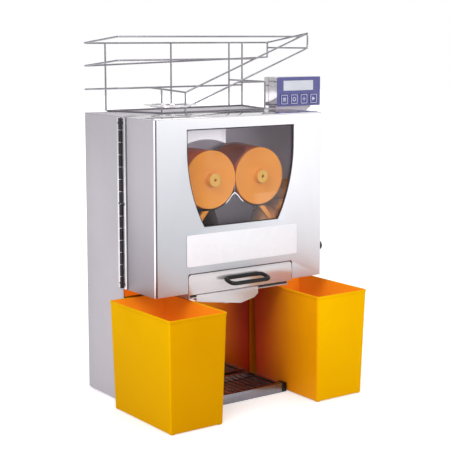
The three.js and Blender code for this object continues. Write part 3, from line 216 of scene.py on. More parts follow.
def circle(a, b, radius, sides=64):
    return arc(a, b, radius, 0, 360 - 360 / sides, sides - 1)


def turned(name, profile, centre, along="Z", steps=64):
    """A turned piece from a closed outline of (radius, height) round an axis through the centre."""
    clear()
    bpy.ops.mesh.primitive_circle_add(vertices=len(profile), radius=1, fill_type="NOTHING")
    piece = started(name)
    foot, side = at(*centre), AXES["X" if along != "X" else "Y"]
    for vertex, (r, h) in zip(piece.data.vertices, profile):
        vertex.co = foot + (side * r + AXES[along] * h) / PER_METRE
    edit(piece)
    bpy.ops.mesh.select_mode(type="VERT")
    bpy.ops.mesh.select_all(action="SELECT")
    bpy.ops.mesh.spin(steps=steps, angle=2 * math.pi, center=foot, axis=AXES[along])
    leave()
    return outward(piece)


def bent(points, radius, steps=6):
    """A run of straight lines with its corners rounded."""
    corners = [Vector(p) for p in points]
    path = [corners[0]]
    for before, corner, after in zip(corners, corners[1:], corners[2:]):
        reach = min(radius, (before - corner).length / 2, (after - corner).length / 2)
        start = corner + (before - corner).normalized() * reach
        end = corner + (after - corner).normalized() * reach
        for i in range(steps + 1):
            t = i / steps
            path.append(start * (1 - t) ** 2 + corner * 2 * t * (1 - t) + end * t ** 2)
    return path + [corners[-1]]


def wires(name, runs, radius, bend, closed=False, fineness=3):
    """Round wire along several runs of straight lines, joined as one piece."""
    clear()
    bpy.ops.curve.primitive_bezier_curve_add()
    piece = bpy.context.active_object
    piece.data.splines.clear()
    piece.location = (0, 0, 0)
    piece.data.dimensions = "3D"
    piece.data.bevel_depth = radius / PER_METRE
    piece.data.bevel_resolution = fineness
    piece.data.use_fill_caps = True
    for run in runs:
        path = bent(run, bend)[:-1] if closed else bent(run, bend)
        spline = piece.data.splines.new("POLY")
        spline.points.add(len(path) - 1)
        for point, place in zip(spline.points, path):
            point.co = (*at(*place), 1)
        spline.use_cyclic_u = closed
    take(piece)
    bpy.ops.object.convert(target="MESH")
    return outward(started(name))


def refine(node, part, width, look, body, slot):
    """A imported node's own shape with its loose triangles merged and its edges softened, in its place."""
    piece = bpy.data.objects.new(node + "_" + part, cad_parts[node].data.copy())
    bpy.context.scene.collection.objects.link(piece)
    piece.data.name = piece.name
    piece.data.materials.clear()
    edit(piece)
    bpy.ops.mesh.remove_doubles(threshold=WELD)
    bpy.ops.mesh.dissolve_limited(angle_limit=math.radians(FLAT_WITHIN))
    leave()
    dress(soften(piece, width), look, body, slot, node)


def dress(piece, look, body, slot, *nodes, smooth=SMOOTH_UP_TO):
    """The last step for a piece: its material, its shading, the body it moves with and the nodes it stands for."""
    if look is not None:
        piece.data.materials.clear()
        piece.data.materials.append(look)
    take(piece)
    bpy.ops.object.shade_smooth_by_angle(angle=math.radians(smooth))
    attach(piece, body)
    if nodes:
        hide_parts(*nodes)
    return piece


# --- Finishes ---

# Places of the sockets on a mix node: two values, two colours and the colour put out
VALUE_A, VALUE_B, COLOUR_A, COLOUR_B, COLOUR_OUT = 2, 3, 6, 7, 2
WHITE = (1, 1, 1, 1)


def shade(code):
    """A colour as the screen shows it, turned into shares of light."""
    full, knee, slope, lift, power = 255, 0.04045, 12.92, 0.055, 2.4
    parts = [int(code[i:i + 2], 16) / full for i in (1, 3, 5)]
    return tuple(p / slope if p <= knee else ((p + lift) / (1 + lift)) ** power for p in parts) + (1.0,)


def effect(name, sockets):
    """An empty node group with its named sockets."""
    group = bpy.data.node_groups.new(name, "ShaderNodeTree")
    for label, kind, way in sockets:
        group.interface.new_socket(label, in_out=way, socket_type=kind)
    return group, group.nodes.new("NodeGroupInput"), group.nodes.new("NodeGroupOutput")


def preset(node, **values):
    """Fixed values on a node's own inputs, their names with lines for spaces."""
    for key, value in values.items():
        node.inputs[key.replace("_", " ")].default_value = value
    return node


def ranged(nodes, start=None, end=None, kind="LINEAR"):
    """A value carried over from one range to another, where a range left out runs from 0 to 1."""
    node = nodes.new("ShaderNodeMapRange")
    node.interpolation_type = kind
    for label, pair in (("From", start), ("To", end)):
        if pair:
            node.inputs[label + " Min"].default_value, node.inputs[label + " Max"].default_value = pair
    return node


def colour_mix(nodes, first=None, second=None):
    node = nodes.new("ShaderNodeMix")
    node.data_type = "RGBA"
    for socket, code in ((COLOUR_A, first), (COLOUR_B, second)):
        if code:
            node.inputs[socket].default_value = shade(code)
    return node


def make_grain():
    """Fine marks stretched in one direction, and slow patches of handling over them."""
    group, source, target = effect("grain_and_handling", [
        ("Place", "NodeSocketVector", "INPUT"), ("Stretch", "NodeSocketVector", "INPUT"),
        ("Patches", "NodeSocketFloat", "INPUT"), ("Marks", "NodeSocketFloat", "OUTPUT"),
        ("Handling", "NodeSocketFloat", "OUTPUT")])
    scaled = group.nodes.new("ShaderNodeVectorMath")
    scaled.operation = "MULTIPLY"
    fine = preset(group.nodes.new("ShaderNodeTexNoise"), Scale=1.0, Detail=3.0, Roughness=0.62)
    slow = preset(group.nodes.new("ShaderNodeTexNoise"), Detail=4.0, Roughness=0.55)
    spread = ranged(group.nodes, start=(0.36, 0.64))
    join = group.links.new
    join(source.outputs["Place"], scaled.inputs[0])
    join(source.outputs["Stretch"], scaled.inputs[1])
    join(scaled.outputs["Vector"], fine.inputs["Vector"])
    join(source.outputs["Place"], slow.inputs["Vector"])
    join(source.outputs["Patches"], slow.inputs["Scale"])
    join(slow.outputs["Fac"], spread.inputs["Value"])
    join(fine.outputs["Fac"], target.inputs["Marks"])
    join(spread.outputs["Result"], target.inputs["Handling"])
    return group


def make_level():
    """A share from 0 to 1 that climbs between two distances along a direction."""
    group, source, target = effect("share_along", [
        ("Place", "NodeSocketVector", "INPUT"), ("Direction", "NodeSocketVector", "INPUT"),
        ("Low", "NodeSocketFloat", "INPUT"), ("High", "NodeSocketFloat", "INPUT"),
        ("Share", "NodeSocketFloat", "OUTPUT")])
    along = group.nodes.new("ShaderNodeVectorMath")
    along.operation = "DOT_PRODUCT"
    climb = ranged(group.nodes, kind="SMOOTHSTEP")
    group.links.new(source.outputs["Place"], along.inputs[0])
    group.links.new(source.outputs["Direction"], along.inputs[1])
    group.links.new(along.outputs["Value"], climb.inputs["Value"])
    group.links.new(source.outputs["Low"], climb.inputs["From Min"])
    group.links.new(source.outputs["High"], climb.inputs["From Max"])
    group.links.new(climb.outputs["Result"], target.inputs["Share"])
    return group


GRAIN = make_grain()
LEVEL = make_level()


def bare_material(name):
    material = bpy.data.materials.new(name)
    material.use_nodes = True
    return material, material.node_tree.nodes, material.node_tree.links.new


def grained(name, stretch, patches):
    """A new material with the grain already placed in it."""
    material, nodes, link = bare_material(name)
    coordinates = nodes.new("ShaderNodeTexCoord")
    grain = nodes.new("ShaderNodeGroup")
    grain.node_tree = GRAIN
    preset(grain, Stretch=stretch, Patches=patches)
    link(coordinates.outputs["Object"], grain.inputs["Place"])
    return material, nodes, link, coordinates, grain


def finish(name, light, dark, rough, metal, stretch, patches, depth, strength, marks_share=0.5, lower=None,
           heights=(0.0, 0.3), way=(0, 0, 1), polished=False, **constants):
    """A surface between two colours by its fine marks and its handling, with the same marks in its gloss and
    relief. A third colour may come in below a height, or towards one end along another direction, where a
    polished piece turns into a mirror; in every material here that third colour is painted shade, or on the
    polished plate a painted reflection."""
    material, nodes, link, coordinates, grain = grained(name, stretch, patches)
    shader = nodes["Principled BSDF"]
    blend = nodes.new("ShaderNodeMix")
    blend.inputs[0].default_value = marks_share
    link(grain.outputs["Marks"], blend.inputs[VALUE_B])
    link(grain.outputs["Handling"], blend.inputs[VALUE_A])
    tint = colour_mix(nodes, light, dark)
    link(blend.outputs[0], tint.inputs[0])
    colour = tint.outputs[COLOUR_OUT]
    if lower:
        level = nodes.new("ShaderNodeGroup")
        level.node_tree = LEVEL
        preset(level, Low=heights[0], High=heights[1], Direction=way)
        link(coordinates.outputs["Object"], level.inputs["Place"])
        fall = colour_mix(nodes, lower)
        link(level.outputs["Share"], fall.inputs[0])
        link(colour, fall.inputs[COLOUR_B])
        colour = fall.outputs[COLOUR_OUT]
    link(colour, shader.inputs["Base Color"])
    gloss = ranged(nodes, end=rough)
    link(blend.outputs[0], gloss.inputs["Value"])
    bump = preset(nodes.new("ShaderNodeBump"), Strength=strength, Distance=depth)
    link(grain.outputs["Marks"], bump.inputs["Height"])
    link(bump.outputs["Normal"], shader.inputs["Normal"])
    preset(shader, Metallic=metal, **constants)
    if polished:
        mirror_rough, whole_metal = 0.06, 1.0
        dull, bare = nodes.new("ShaderNodeMix"), nodes.new("ShaderNodeMix")
        dull.inputs[VALUE_A].default_value, bare.inputs[VALUE_A].default_value = mirror_rough, whole_metal
        bare.inputs[VALUE_B].default_value = metal
        link(gloss.outputs["Result"], dull.inputs[VALUE_B])
        for mix, socket in ((dull, "Roughness"), (bare, "Metallic")):
            link(level.outputs["Share"], mix.inputs[0])
            link(mix.outputs[0], shader.inputs[socket])
    else:
        link(gloss.outputs["Result"], shader.inputs["Roughness"])
    return material


def even(count):
    """Marks with no direction of their own."""
    return count, count, count


# Brush marks that run up, along the fold, and across
UP, ALONG_FOLD, ACROSS = (900, 900, 14), (900, 900, 60), (14, 900, 900)

# Each row: light and dark colour, least and most roughness, metal, stretch of the marks, patches of handling,
# depth and strength of the relief, and where it isn't half, the share of the marks in the colour
# Painted shade: the housing's sides a darker copy of the same brushed stainless as the door front
side_sheet_painted_shade = finish("side_sheet_brushed_painted_shade", "#c0bac1", "#b7b1b9", (0.42, 0.52), 0.6, UP, 5.0, 0.0002, 0.10, 0.6)
# Painted shade: the door's sides a darker copy of the sheet, and darker still towards the bottom
door_side_painted_shade = finish("door_side_brushed_painted_shade", "#cfc9d1", "#c5bfc7", (0.42, 0.52), 0.6, UP, 5.0, 0.0002, 0.10, 0.6,
                   lower="#a09aa2", heights=(0.25, 0.62))
# Painted light: the door front a lighter copy of the sheet, with painted shade coming in towards its lower left
front_sheet_painted_light = finish("front_sheet_brushed_painted_light", "#f6f5f8", "#eeecf1", (0.36, 0.46), 0.3, UP, 4.0, 0.0002, 0.08, 0.6,
                     lower="#b9bdc4", heights=(0.15, 0.66), way=(0.5, 0, 0.87))
drawer_sheet = finish("drawer_sheet_brushed", "#cac5c7", "#c1bcbf", (0.16, 0.24), 0.5, ACROSS, 4.0, 0.0002, 0.06,
                      0.6)
trough_sheet = finish("trough_sheet", "#cbc7c9", "#c2bec1", (0.34, 0.44), 0.4, ACROSS, 4.0, 0.0002, 0.06, 0.6)
tray_sheet = finish("tray_sheet_bright", "#8d8b93", "#7c7a82", (0.20, 0.30), 0.9, ACROSS, 6.0, 0.0002, 0.06)
# A painted dark line of shade and a painted highlight, laid on folds and edges
bend_painted_shade_line = finish("bend_painted_shade_line", "#6f6b71", "#5c585e", (0.30, 0.42), 1.0, ALONG_FOLD, 9.0, 0.0001, 0.08)
bend_painted_highlight = finish("bend_painted_highlight", "#fbfafc", "#efedf0", (0.30, 0.42), 1.0, ALONG_FOLD, 9.0, 0.0001, 0.08)
top_sheet = finish("top_sheet_bright", "#e6e4e7", "#d8d5da", (0.07, 0.13), 1.0, ACROSS, 6.0, 0.0001, 0.04)
# Satin above; lower down a real mirror, its pinkish tint a painted reflection of the bins
back_plate_painted_reflection = finish("back_plate_satin_painted_reflection", "#dedce9", "#cecdd9", (0.34, 0.46), 0.3, ACROSS, 7.0, 0.0001, 0.04,
                    lower="#e6c4b6", heights=(0.30, 0.57), polished=True)
# Painted reflection: the polished grille tinted brownish like the warm parts it reflects
grille_painted_reflection = finish("grille_sheet_bright_painted_reflection", "#a8958c", "#8b776e", (0.10, 0.20), 1.0, ACROSS, 9.0, 0.0001, 0.04)
wire_steel = finish("drawn_wire", "#a3a0a7", "#7f7c83", (0.12, 0.22), 1.0, even(400), 30.0, 0.0001, 0.04)
hinge_steel = finish("hinge_strip", "#f1eff3", "#dedbe0", (0.30, 0.42), 1.0, (700, 700, 30), 20.0, 0.0002, 0.12)
dark_steel = finish("knuckle_steel", "#3b393d", "#2a282c", (0.35, 0.50), 0.8, (700, 700, 30), 20.0, 0.0002, 0.12)
screw_steel = finish("screw_heads", "#d6d4d9", "#a2a0a6", (0.18, 0.30), 1.0, even(900), 60.0, 0.0001, 0.1)
cast_metal = finish("cast_metal", "#9b9ea2", "#7d8085", (0.42, 0.60), 0.85, even(900), 40.0, 0.0006, 0.35)
gear_steel = finish("cut_gears", "#a6a8ab", "#85878b", (0.26, 0.42), 1.0, (60, 900, 60), 40.0, 0.0002, 0.15)
motor_paint = finish("motor_paint", "#4c4e54", "#3a3c41", (0.42, 0.58), 0.0, even(700), 30.0, 0.0003, 0.2)
foot_rubber = finish("foot_rubber", "#1c1c1d", "#101011", (0.70, 0.90), 0.0, even(1200), 60.0, 0.0004, 0.4)
black_plastic = finish("black_plastic", "#0f0f11", "#09090a", (0.24, 0.36), 0.0, even(1400), 30.0, 0.0002, 0.2,
                       Specular_IOR_Level=0.3)
grey_plastic = finish("grey_plastic", "#474148", "#3c373d", (0.35, 0.50), 0.0, even(1200), 30.0, 0.0002, 0.2)
dark_plastic = finish("dark_grey_plastic", "#4d4e54", "#3d3e44", (0.38, 0.55), 0.0, even(1200), 30.0, 0.0002, 0.2)
white_plastic = finish("white_plastic", "#fbfbfc", "#f2f2f5", (0.28, 0.40), 0.0, even(900), 20.0, 0.0002, 0.1)
bare_plate = finish("bare_plate", "#ecebf0", "#e5e4ea", (0.22, 0.32), 0.0, even(500), 12.0, 0.0001, 0.05,
                    Coat_Weight=0.4, Coat_Roughness=0.08)
orange_plastic = finish("orange_plastic", "#e4942e", "#dc8822", (0.30, 0.44), 0.0, even(900), 24.0, 0.0002, 0.12,
                        Specular_IOR_Level=0.3)
# Painted shade: the cup drums' bodies a darker copy of the discs' orange plastic
orange_painted_shade = finish("orange_plastic_painted_shade", "#b5502c", "#a34422", (0.34, 0.48), 0.0, even(900), 24.0, 0.0002,
                     0.12, Specular_IOR_Level=0.3)
# Painted highlight: the discs' hubs a lighter copy of the same orange plastic
hub_painted_highlight = finish("hub_painted_highlight", "#dcb04a", "#c99a34", (0.30, 0.44), 0.0, even(900), 60.0, 0.0002, 0.12)
# Painted shade: the bins' colour darker towards the floor
bin_plastic = finish("bin_plastic", "#f2b700", "#eaae00", (0.42, 0.55), 0.0, even(1500), 9.0, 0.0002, 0.14, 0.35,
                     lower="#e6aa00", heights=(0.0, 0.24), IOR=1.05)
# Painted shade: a darker copy for the left bin's front, with painted shade towards the floor too
bin_front_painted_shade = finish("bin_plastic_front_painted_shade", "#d69800", "#cf9100", (0.42, 0.55), 0.0, even(1500), 9.0, 0.0002, 0.14,
                   0.35, lower="#cf9200", heights=(0.0, 0.24), IOR=1.05)
bin_shaded = finish("bin_plastic_shaded", "#f6a600", "#ee9c00", (0.40, 0.52), 0.0, even(1500), 9.0, 0.0002, 0.14,
                    0.35, lower="#bc3a1c", heights=(-0.04, 0.17), way=(0, -1, 0), IOR=1.15)
# Painted light: a lighter copy for the bins' insides that glows orange, with painted shade towards their floor
bin_inside_painted_glow = finish("bin_plastic_inside_painted_glow", "#ff9a20", "#f98e14", (0.42, 0.55), 0.0, even(1500), 9.0, 0.0002, 0.14,
                    0.35, lower="#e06a14", heights=(0.06, 0.22), IOR=1.1, Emission_Color=(1.0, 0.38, 0.03, 1),
                    Emission_Strength=0.11)
blue_face = finish("blue_face", "#5a5992", "#504f86", (0.36, 0.48), 0.0, even(1800), 40.0, 0.0001, 0.12)
key_plastic = finish("key_plastic", "#50518e", "#464782", (0.36, 0.48), 0.0, even(1800), 60.0, 0.0001, 0.12)
key_edge = finish("key_edging", "#d4d4e2", "#c4c4d6", (0.30, 0.40), 0.0, even(900), 60.0, 0.0001, 0.05)
display_face = finish("display_face", "#d3d5dd", "#c8cbd5", (0.10, 0.18), 0.0, (3000, 200, 3000), 30.0, 0.0001,
                      0.05)
board_laminate = finish("board_laminate", "#2f6f49", "#24593a", (0.40, 0.55), 0.0, even(900), 80.0, 0.0002, 0.2)
seal_rubber = finish("seal_rubber", "#2a2829", "#1c1a1b", (0.55, 0.75), 0.0, even(900), 50.0, 0.0003, 0.25)


def make_window_glass():
    """Clear sheet with a faint tint. Light that casts a shadow or has been scattered passes it unbent."""
    material, nodes, link, _, grain = grained("tinted_clear", even(300), 8.0)
    shader, output = nodes["Principled BSDF"], nodes["Material Output"]
    gloss = ranged(nodes, end=(0.0, 0.03))
    link(grain.outputs["Handling"], gloss.inputs["Value"])
    link(gloss.outputs["Result"], shader.inputs["Roughness"])
    tint = colour_mix(nodes, "#fdfcfe", "#f8f6f9")
    link(grain.outputs["Handling"], tint.inputs[0])
    link(tint.outputs[COLOUR_OUT], shader.inputs["Base Color"])
    preset(shader, Transmission_Weight=1.0, IOR=1.3)
    path = nodes.new("ShaderNodeLightPath")
    through = preset(nodes.new("ShaderNodeBsdfTransparent"), Color=shade("#fbfafc"))
    mix = nodes.new("ShaderNodeMixShader")
    either = nodes.new("ShaderNodeMath")
    either.operation = "MAXIMUM"
    link(path.outputs["Is Shadow Ray"], either.inputs[0])
    link(path.outputs["Is Diffuse Ray"], either.inputs[1])
    link(either.outputs[0], mix.inputs[0])
    link(shader.outputs[0], mix.inputs[1])
    link(through.outputs[0], mix.inputs[2])
    link(mix.outputs[0], output.inputs["Surface"])
    return material


window_glass = make_window_glass()

# --- Camera, lamps and the floor ---

EYE = (-1.5554, -2.1339, 0.7987)
LEVEL_GAZE, LOOKS_DOWN, LOOKS_ROUND = 90, 8.148, -35.61
SENSOR, LENS, FRAME_SHIFT, FAR_END = 36, 94.82, -0.04, 60

clear()
bpy.ops.object.camera_add(location=EYE, rotation=(math.radians(LEVEL_GAZE - LOOKS_DOWN), 0,
                                                  math.radians(LOOKS_ROUND)))
camera = bpy.context.active_object
camera.data.sensor_width = SENSOR
camera.data.lens = LENS
camera.data.shift_y = FRAME_SHIFT
camera.data.clip_end = FAR_END
bpy.context.scene.camera = camera


def lamp(name, place, target, size, power):
    clear()
    turn = (Vector(target) - Vector(place)).to_track_quat("-Z", "Y").to_euler()
    bpy.ops.object.light_add(type="AREA", location=place, rotation=turn)
    light = bpy.context.active_object
    light.name = name
    light.data.size = size
    light.data.energy = power


for name, place, target, size, power in (("key_lamp", (-2.2, -1.6, 2.3), (0, 0, 0.3), 1.4, 44),
                                         ("fill_lamp", (0.5, -3.0, 1.5), (0, 0, 0.45), 1.8, 27),
                                         ("top_lamp", (0.2, 0.5, 2.6), (0, 0, 0.4), 1.6, 16)):
    lamp(name, place, target, size, power)


def white_share(nodes, link):
    """The light path, a share of 1 where the camera looks straight or through the window, and one that also counts
    reflections."""
    path = nodes.new("ShaderNodeLightPath")
    first, second = nodes.new("ShaderNodeMath"), nodes.new("ShaderNodeMath")
    first.operation = second.operation = "MAXIMUM"
    link(path.outputs["Is Camera Ray"], first.inputs[0])
    link(path.outputs["Is Transmission Ray"], first.inputs[1])
    link(first.outputs[0], second.inputs[0])
    link(path.outputs["Is Glossy Ray"], second.inputs[1])
    return path, first.outputs[0], second.outputs[0]


def make_world():
    """Plain white to the eye, weaker light on matt surfaces, and a sky brighter to the right in reflections."""
    scattered, seen_white = 0.58, 1.0
    left, right, between = (0.12, 0.62), (0.86, 1.0), ((0.50, 0.78), (0.74, 0.78))
    world = bpy.data.worlds.new("studio")
    world.use_nodes = True
    bpy.context.scene.world = world
    nodes, link = world.node_tree.nodes, world.node_tree.links.new
    background = nodes["Background"]
    path, seen, _ = white_share(nodes, link)
    coordinates = nodes.new("ShaderNodeTexCoord")
    parts = nodes.new("ShaderNodeSeparateXYZ")
    link(coordinates.outputs["Generated"], parts.inputs["Vector"])
    side = nodes.new("ShaderNodeValToRGB")
    climb = ranged(nodes, start=(-1.0, 1.0))
    link(parts.outputs["X"], climb.inputs["Value"])
    link(climb.outputs["Result"], side.inputs["Fac"])
    stops = side.color_ramp.elements
    for i, (place, strength) in enumerate((left, right)):
        stops[i].position, stops[i].color = place, (strength, strength, strength, 1)
    for place, strength in between:
        stops.new(place).color = (strength, strength, strength, 1)
    plain = nodes.new("ShaderNodeMix")
    plain.inputs[VALUE_A].default_value = scattered
    link(path.outputs["Is Glossy Ray"], plain.inputs[0])
    link(side.outputs["Color"], plain.inputs[VALUE_B])
    level = nodes.new("ShaderNodeMix")
    link(seen, level.inputs[0])
    link(plain.outputs[0], level.inputs[VALUE_A])
    level.inputs[VALUE_B].default_value = seen_white
    link(level.outputs[0], background.inputs["Strength"])
    preset(background, Color=WHITE)


make_world()


def make_floor():
    """A pale floor that keeps the shadow near the machine and fades into the white further out."""
    side, grey, roughness = 24, (0.82, 0.82, 0.83, 1), 0.9
    fade_from_to, glow_from_to = (0.5, 3.5), (0.40, 0.85)
    clear()
    bpy.ops.mesh.primitive_plane_add(size=side, location=(0, 0, 0))
    floor = started("floor")
    material, nodes, link = bare_material("pale_floor")
    shader = nodes["Principled BSDF"]
    preset(shader, Base_Color=grey, Roughness=roughness, Emission_Color=WHITE)
    _, _, seen = white_share(nodes, link)
    coordinates = nodes.new("ShaderNodeTexCoord")
    distance = nodes.new("ShaderNodeVectorMath")
    distance.operation = "LENGTH"
    link(coordinates.outputs["Object"], distance.inputs[0])
    fade = ranged(nodes, fade_from_to, glow_from_to, "SMOOTHSTEP")
    link(distance.outputs["Value"], fade.inputs["Value"])
    glow = nodes.new("ShaderNodeMath")
    glow.operation = "MULTIPLY"
    link(fade.outputs["Result"], glow.inputs[1])
    link(seen, glow.inputs[0])
    link(glow.outputs[0], shader.inputs["Emission Strength"])
    coat(floor, material)


make_floor()
bpy.context.scene.view_settings.view_transform = "Standard"

# --- Sizes taken over from the model ---

HALF = 224
DEPTH = 159
HEIGHT = 633
DOOR_FRONT = -128.6
DOOR_BOTTOM = 259.5
DOOR_TOP = 630.7
SHEET = 2
BEND, INNER_BEND = 3, 1
EDGE_HEIGHT = 3
SLIP = 0.3
CUPS = {-1: (-63, 496.4), 1: (63, 496.4)}
BALLS = {-1: (-137.246, 422.154), 1: (137.246, 422.154)}
SIDES = {-1: "left", 1: "right"}
STAINLESS = "brushed_stainless"
INLET, INLET_RADIUS = (-140, -60), 41
HAIR = 0.1


# --- The housing ---

def screw(name, place, along, radius, proud, way=1):
    """A low round screw head with a cross cut in it."""
    sunk, crown = 0.2, ((0.86, 0.72), (0.5, 1))
    profile = [(0, -sunk), (radius, -sunk), (radius, sunk)]
    profile += [(radius * r, proud * h) for r, h in crown] + [(0, proud)]
    head = turned(name, [(r, way * h) for r, h in profile], place, along, 24)
    x, y, z = place
    long, narrow, low, high = radius * 0.62, radius * 0.16, proud * 0.35, proud + 1
    near, far = sorted((way * low, way * high))
    for a, b in ((long, narrow), (narrow, long)):
        if along == "X":
            carve(head, block("slot", (x + near, y - a, z - b), (x + far, y + a, z + b)))
        else:
            carve(head, block("slot", (x - a, y + near, z - b), (x + a, y + far, z + b)))
    return head


def make_housing():
    corner_x, corner_z = HALF - BEND, HEIGHT - BEND
    outer = arc(corner_x, corner_z, BEND, 0, 90, 6) + arc(-corner_x, corner_z, BEND, 90, 180, 6)
    inner = arc(-corner_x, corner_z, INNER_BEND, 180, 90, 4) + arc(corner_x, corner_z, INNER_BEND, 90, 0, 4)
    outline = [(HALF, EDGE_HEIGHT)] + outer + [(-HALF, EDGE_HEIGHT), (-HALF + SHEET, EDGE_HEIGHT)] + inner
    cover_front = DEPTH - SHEET
    wrap = plate("housing_sheet", outline + [(HALF - SHEET, EDGE_HEIGHT)], "Y", 0, cover_front - SLIP)
    soften(wrap, 0.35)
    dress(wrap, side_sheet_painted_shade, "machine", STAINLESS, "housing_wrap")

    drop, through_shelf = 26, (600, 660)
    shelf = block("top_shelf_sheet", (-HALF, DOOR_FRONT, HEIGHT - SHEET), (HALF, -SLIP, HEIGHT))
    carve(shelf, plate("hole", circle(*INLET, INLET_RADIUS), "Z", *through_shelf))
    soften(shelf, 0.6, 3)
    inside = HALF - SHEET - SLIP
    flange = block("flange", (-inside, -SHEET - SLIP, HEIGHT - drop), (inside, -SLIP, HEIGHT - SHEET + HAIR))
    together(shelf, soften(flange, 0.4))
    dress(shelf, top_sheet, "machine", STAINLESS, "top_shelf")

    through_cover, vent_x, vent_half, vent_high, first_vent, vent_pitch = (150, 165), 90, 35, 5, 64.5, 14
    inlet_x, inlet_z, inlet_half, inlet_half_high = 150, 60, 42.3, 17.3
    cover = block("rear_cover_sheet", (-HALF, cover_front, EDGE_HEIGHT), (HALF, DEPTH, HEIGHT))
    for x in (-vent_x, vent_x):
        for row in range(6):
            z = HEIGHT - first_vent - vent_pitch * row
            vent = rounded(x - vent_half, x + vent_half, z - vent_high, z, 2.4)
            carve(cover, plate("slot", vent, "Y", *through_cover))
    carve(cover, block("slot", (inlet_x - inlet_half, through_cover[0], inlet_z - inlet_half_high),
                       (inlet_x + inlet_half, through_cover[1], inlet_z + inlet_half_high)))
    soften(cover, 0.4)
    # Its faces are left flat, because shading smoothed over the cut edges would smear round the vents
    dress(cover, side_sheet_painted_shade, "machine", STAINLESS, "rear_cover", smooth=5)
    columns, rows = (-212, 0, 212), (18, 218, 417, 617)
    heads = [screw("rear_screw", (x, DEPTH - HAIR, z), "Y", 3.2, 1.2)
             for x in columns for z in rows if x or z in (rows[0], rows[-1])]
    dress(joined(heads, "rear_cover_screws"), screw_steel, "machine", STAINLESS)


def make_feet():
    for node in ("foot_rear_left", "foot_rear_right", "foot_front_left", "foot_front_right"):
        low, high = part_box(node)
        x, y, _ = measured((low + high) / 2)
        top = measured(high)[2]
        profile = [(0, 0), (11.6, 0), (13, 0.5), (13.9, 1.6), (14, 2.4), (13.4, top), (0, top)]
        foot = turned(node + "_rubber", profile, (x, y, 0), "Z", 40)
        dress(foot, foot_rubber, "machine", "foot_rubber", node)


def make_mains():
    refine("mains_module", "moulding", 0.5, black_plastic, "machine", "black_plastic")
    refine("mains_rocker", "cap", 0.5, dark_plastic, "rocker", "dark_grey_plastic")


# --- The door ---

def window_outline(margin):
    """The window: straight down from the top, then drawn in along a wide bend on either side."""
    half, bend_radius, steps = 142.5, 342, 28
    top, bend_from, bottom = HEIGHT - 24.6, HEIGHT - 67, HEIGHT - 233.8 - margin
    centre, radius = half - bend_radius, bend_radius + margin
    sweep = math.asin((bend_from - bottom) / radius)
    left = [(-half - margin, top + margin), (-half - margin, bend_from)]
    for i in range(1, steps + 1):
        angle = sweep * i / steps
        left.append((-(centre + radius * math.cos(angle)), bend_from - radius * math.sin(angle)))
    return left + [(-x, z) for x, z in reversed(left)]


def make_door():
    hinge_side_end, pull_side_end = -4.5, -1.5
    corner_x, corner_y = HALF - BEND, DOOR_FRONT + BEND
    outer = arc(-corner_x, corner_y, BEND, 180, 270, 8) + arc(corner_x, corner_y, BEND, 270, 360, 8)
    inner = arc(corner_x, corner_y, INNER_BEND, 0, -90, 5) + arc(-corner_x, corner_y, INNER_BEND, 270, 180, 5)
    outline = [(-HALF, hinge_side_end)] + outer + [(HALF, pull_side_end), (HALF - SHEET, pull_side_end)] + inner
    shell = plate("door_sheet", outline + [(-HALF + SHEET, hinge_side_end)], "Z", DOOR_BOTTOM, DOOR_TOP)
    through_front, notch_half, notch_top, below = (-132, -125), 141, 301.5, 240
    carve(shell, plate("opening", window_outline(0), "Y", *through_front),
          plate("notch", rounded(-notch_half, notch_half, below, notch_top, 5, 0, 8), "Y", *through_front))
    soften(shell, 0.35)

    # The left fold gets a painted highlight and a painted dark line of shade, which end where the sheet is flat
    # again
    fold_width, fold_depth, painted_shade_beyond = 6.5, 3.2, -0.25
    edit(shell)
    bpy.ops.mesh.bisect(plane_co=at(-HALF + fold_width, 0, 0), plane_no=(1, 0, 0))
    leave()
    coat(shell, front_sheet_painted_light, door_side_painted_shade, bend_painted_highlight, bend_painted_shade_line)
    # Faces that look sideways take the painted-shade copy of the sheet, the rest the painted-light front copy
    for face in shell.data.polygons:
        x, y, _ = measured(face.center)
        n = face.normal
        in_fold = x < -HALF + fold_width and y < DOOR_FRONT + fold_depth
        if in_fold and n.x > -0.99 and n.y < 0 and abs(n.z) < 0.3:
            face.material_index = 2 if n.x < painted_shade_beyond else 3
        elif abs(n.x) > 0.9:
            face.material_index = 1
    dress(shell, None, "door", STAINLESS, "door_shell")

    overlap, edging_width, right_painted_shade_width = 8, 2.2, 1.2
    pane = plate("door_pane", window_outline(overlap), "Y", -126.3, -123.3)
    dress(soften(pane, 0.3), window_glass, "door", "tinted_clear_plastic", "door_window")
    edging = plate("window_edging", window_outline(-0.02), "Y", -129.3, -126.4)
    # The black edging is real; its extra width on the right is a painted shade of the window's shaded right edge
    within = [(x - right_painted_shade_width, z) for x, z in window_outline(-edging_width)]
    carve(edging, plate("opening", within, "Y", -135, -120))
    dress(soften(edging, 0.4), seal_rubber, "door", "black_plastic")

    face = plate("door_plate_face", rounded(-144.5, 152.5, 316.5, 385, 4), "Y", -129.9, -128.9)
    dress(soften(face, 0.3, 3), bare_plate, "door", "white_plastic", "door_plate")

    profile = [(0, 0), (8.5, 0), (8.5, 1.6), (9.6, 2.4), (10.8, 3.4), (11, 4.6), (10.6, 6.6), (9.4, 7.7), (7.4, 8),
               (6.4, 7.5), (5.2, 7.3), (0, 7.3)]
    pull = turned("door_pull_knob", profile, (HALF + SLIP, -115, HEIGHT - 307.5), "X", 48)
    dress(pull, black_plastic, "door", "black_plastic", "door_pull")
    refine("door_magnet", "block", 0.8, black_plastic, "door", "black_plastic")
    refine("door_sensor", "block", 0.8, black_plastic, "machine", "black_plastic")


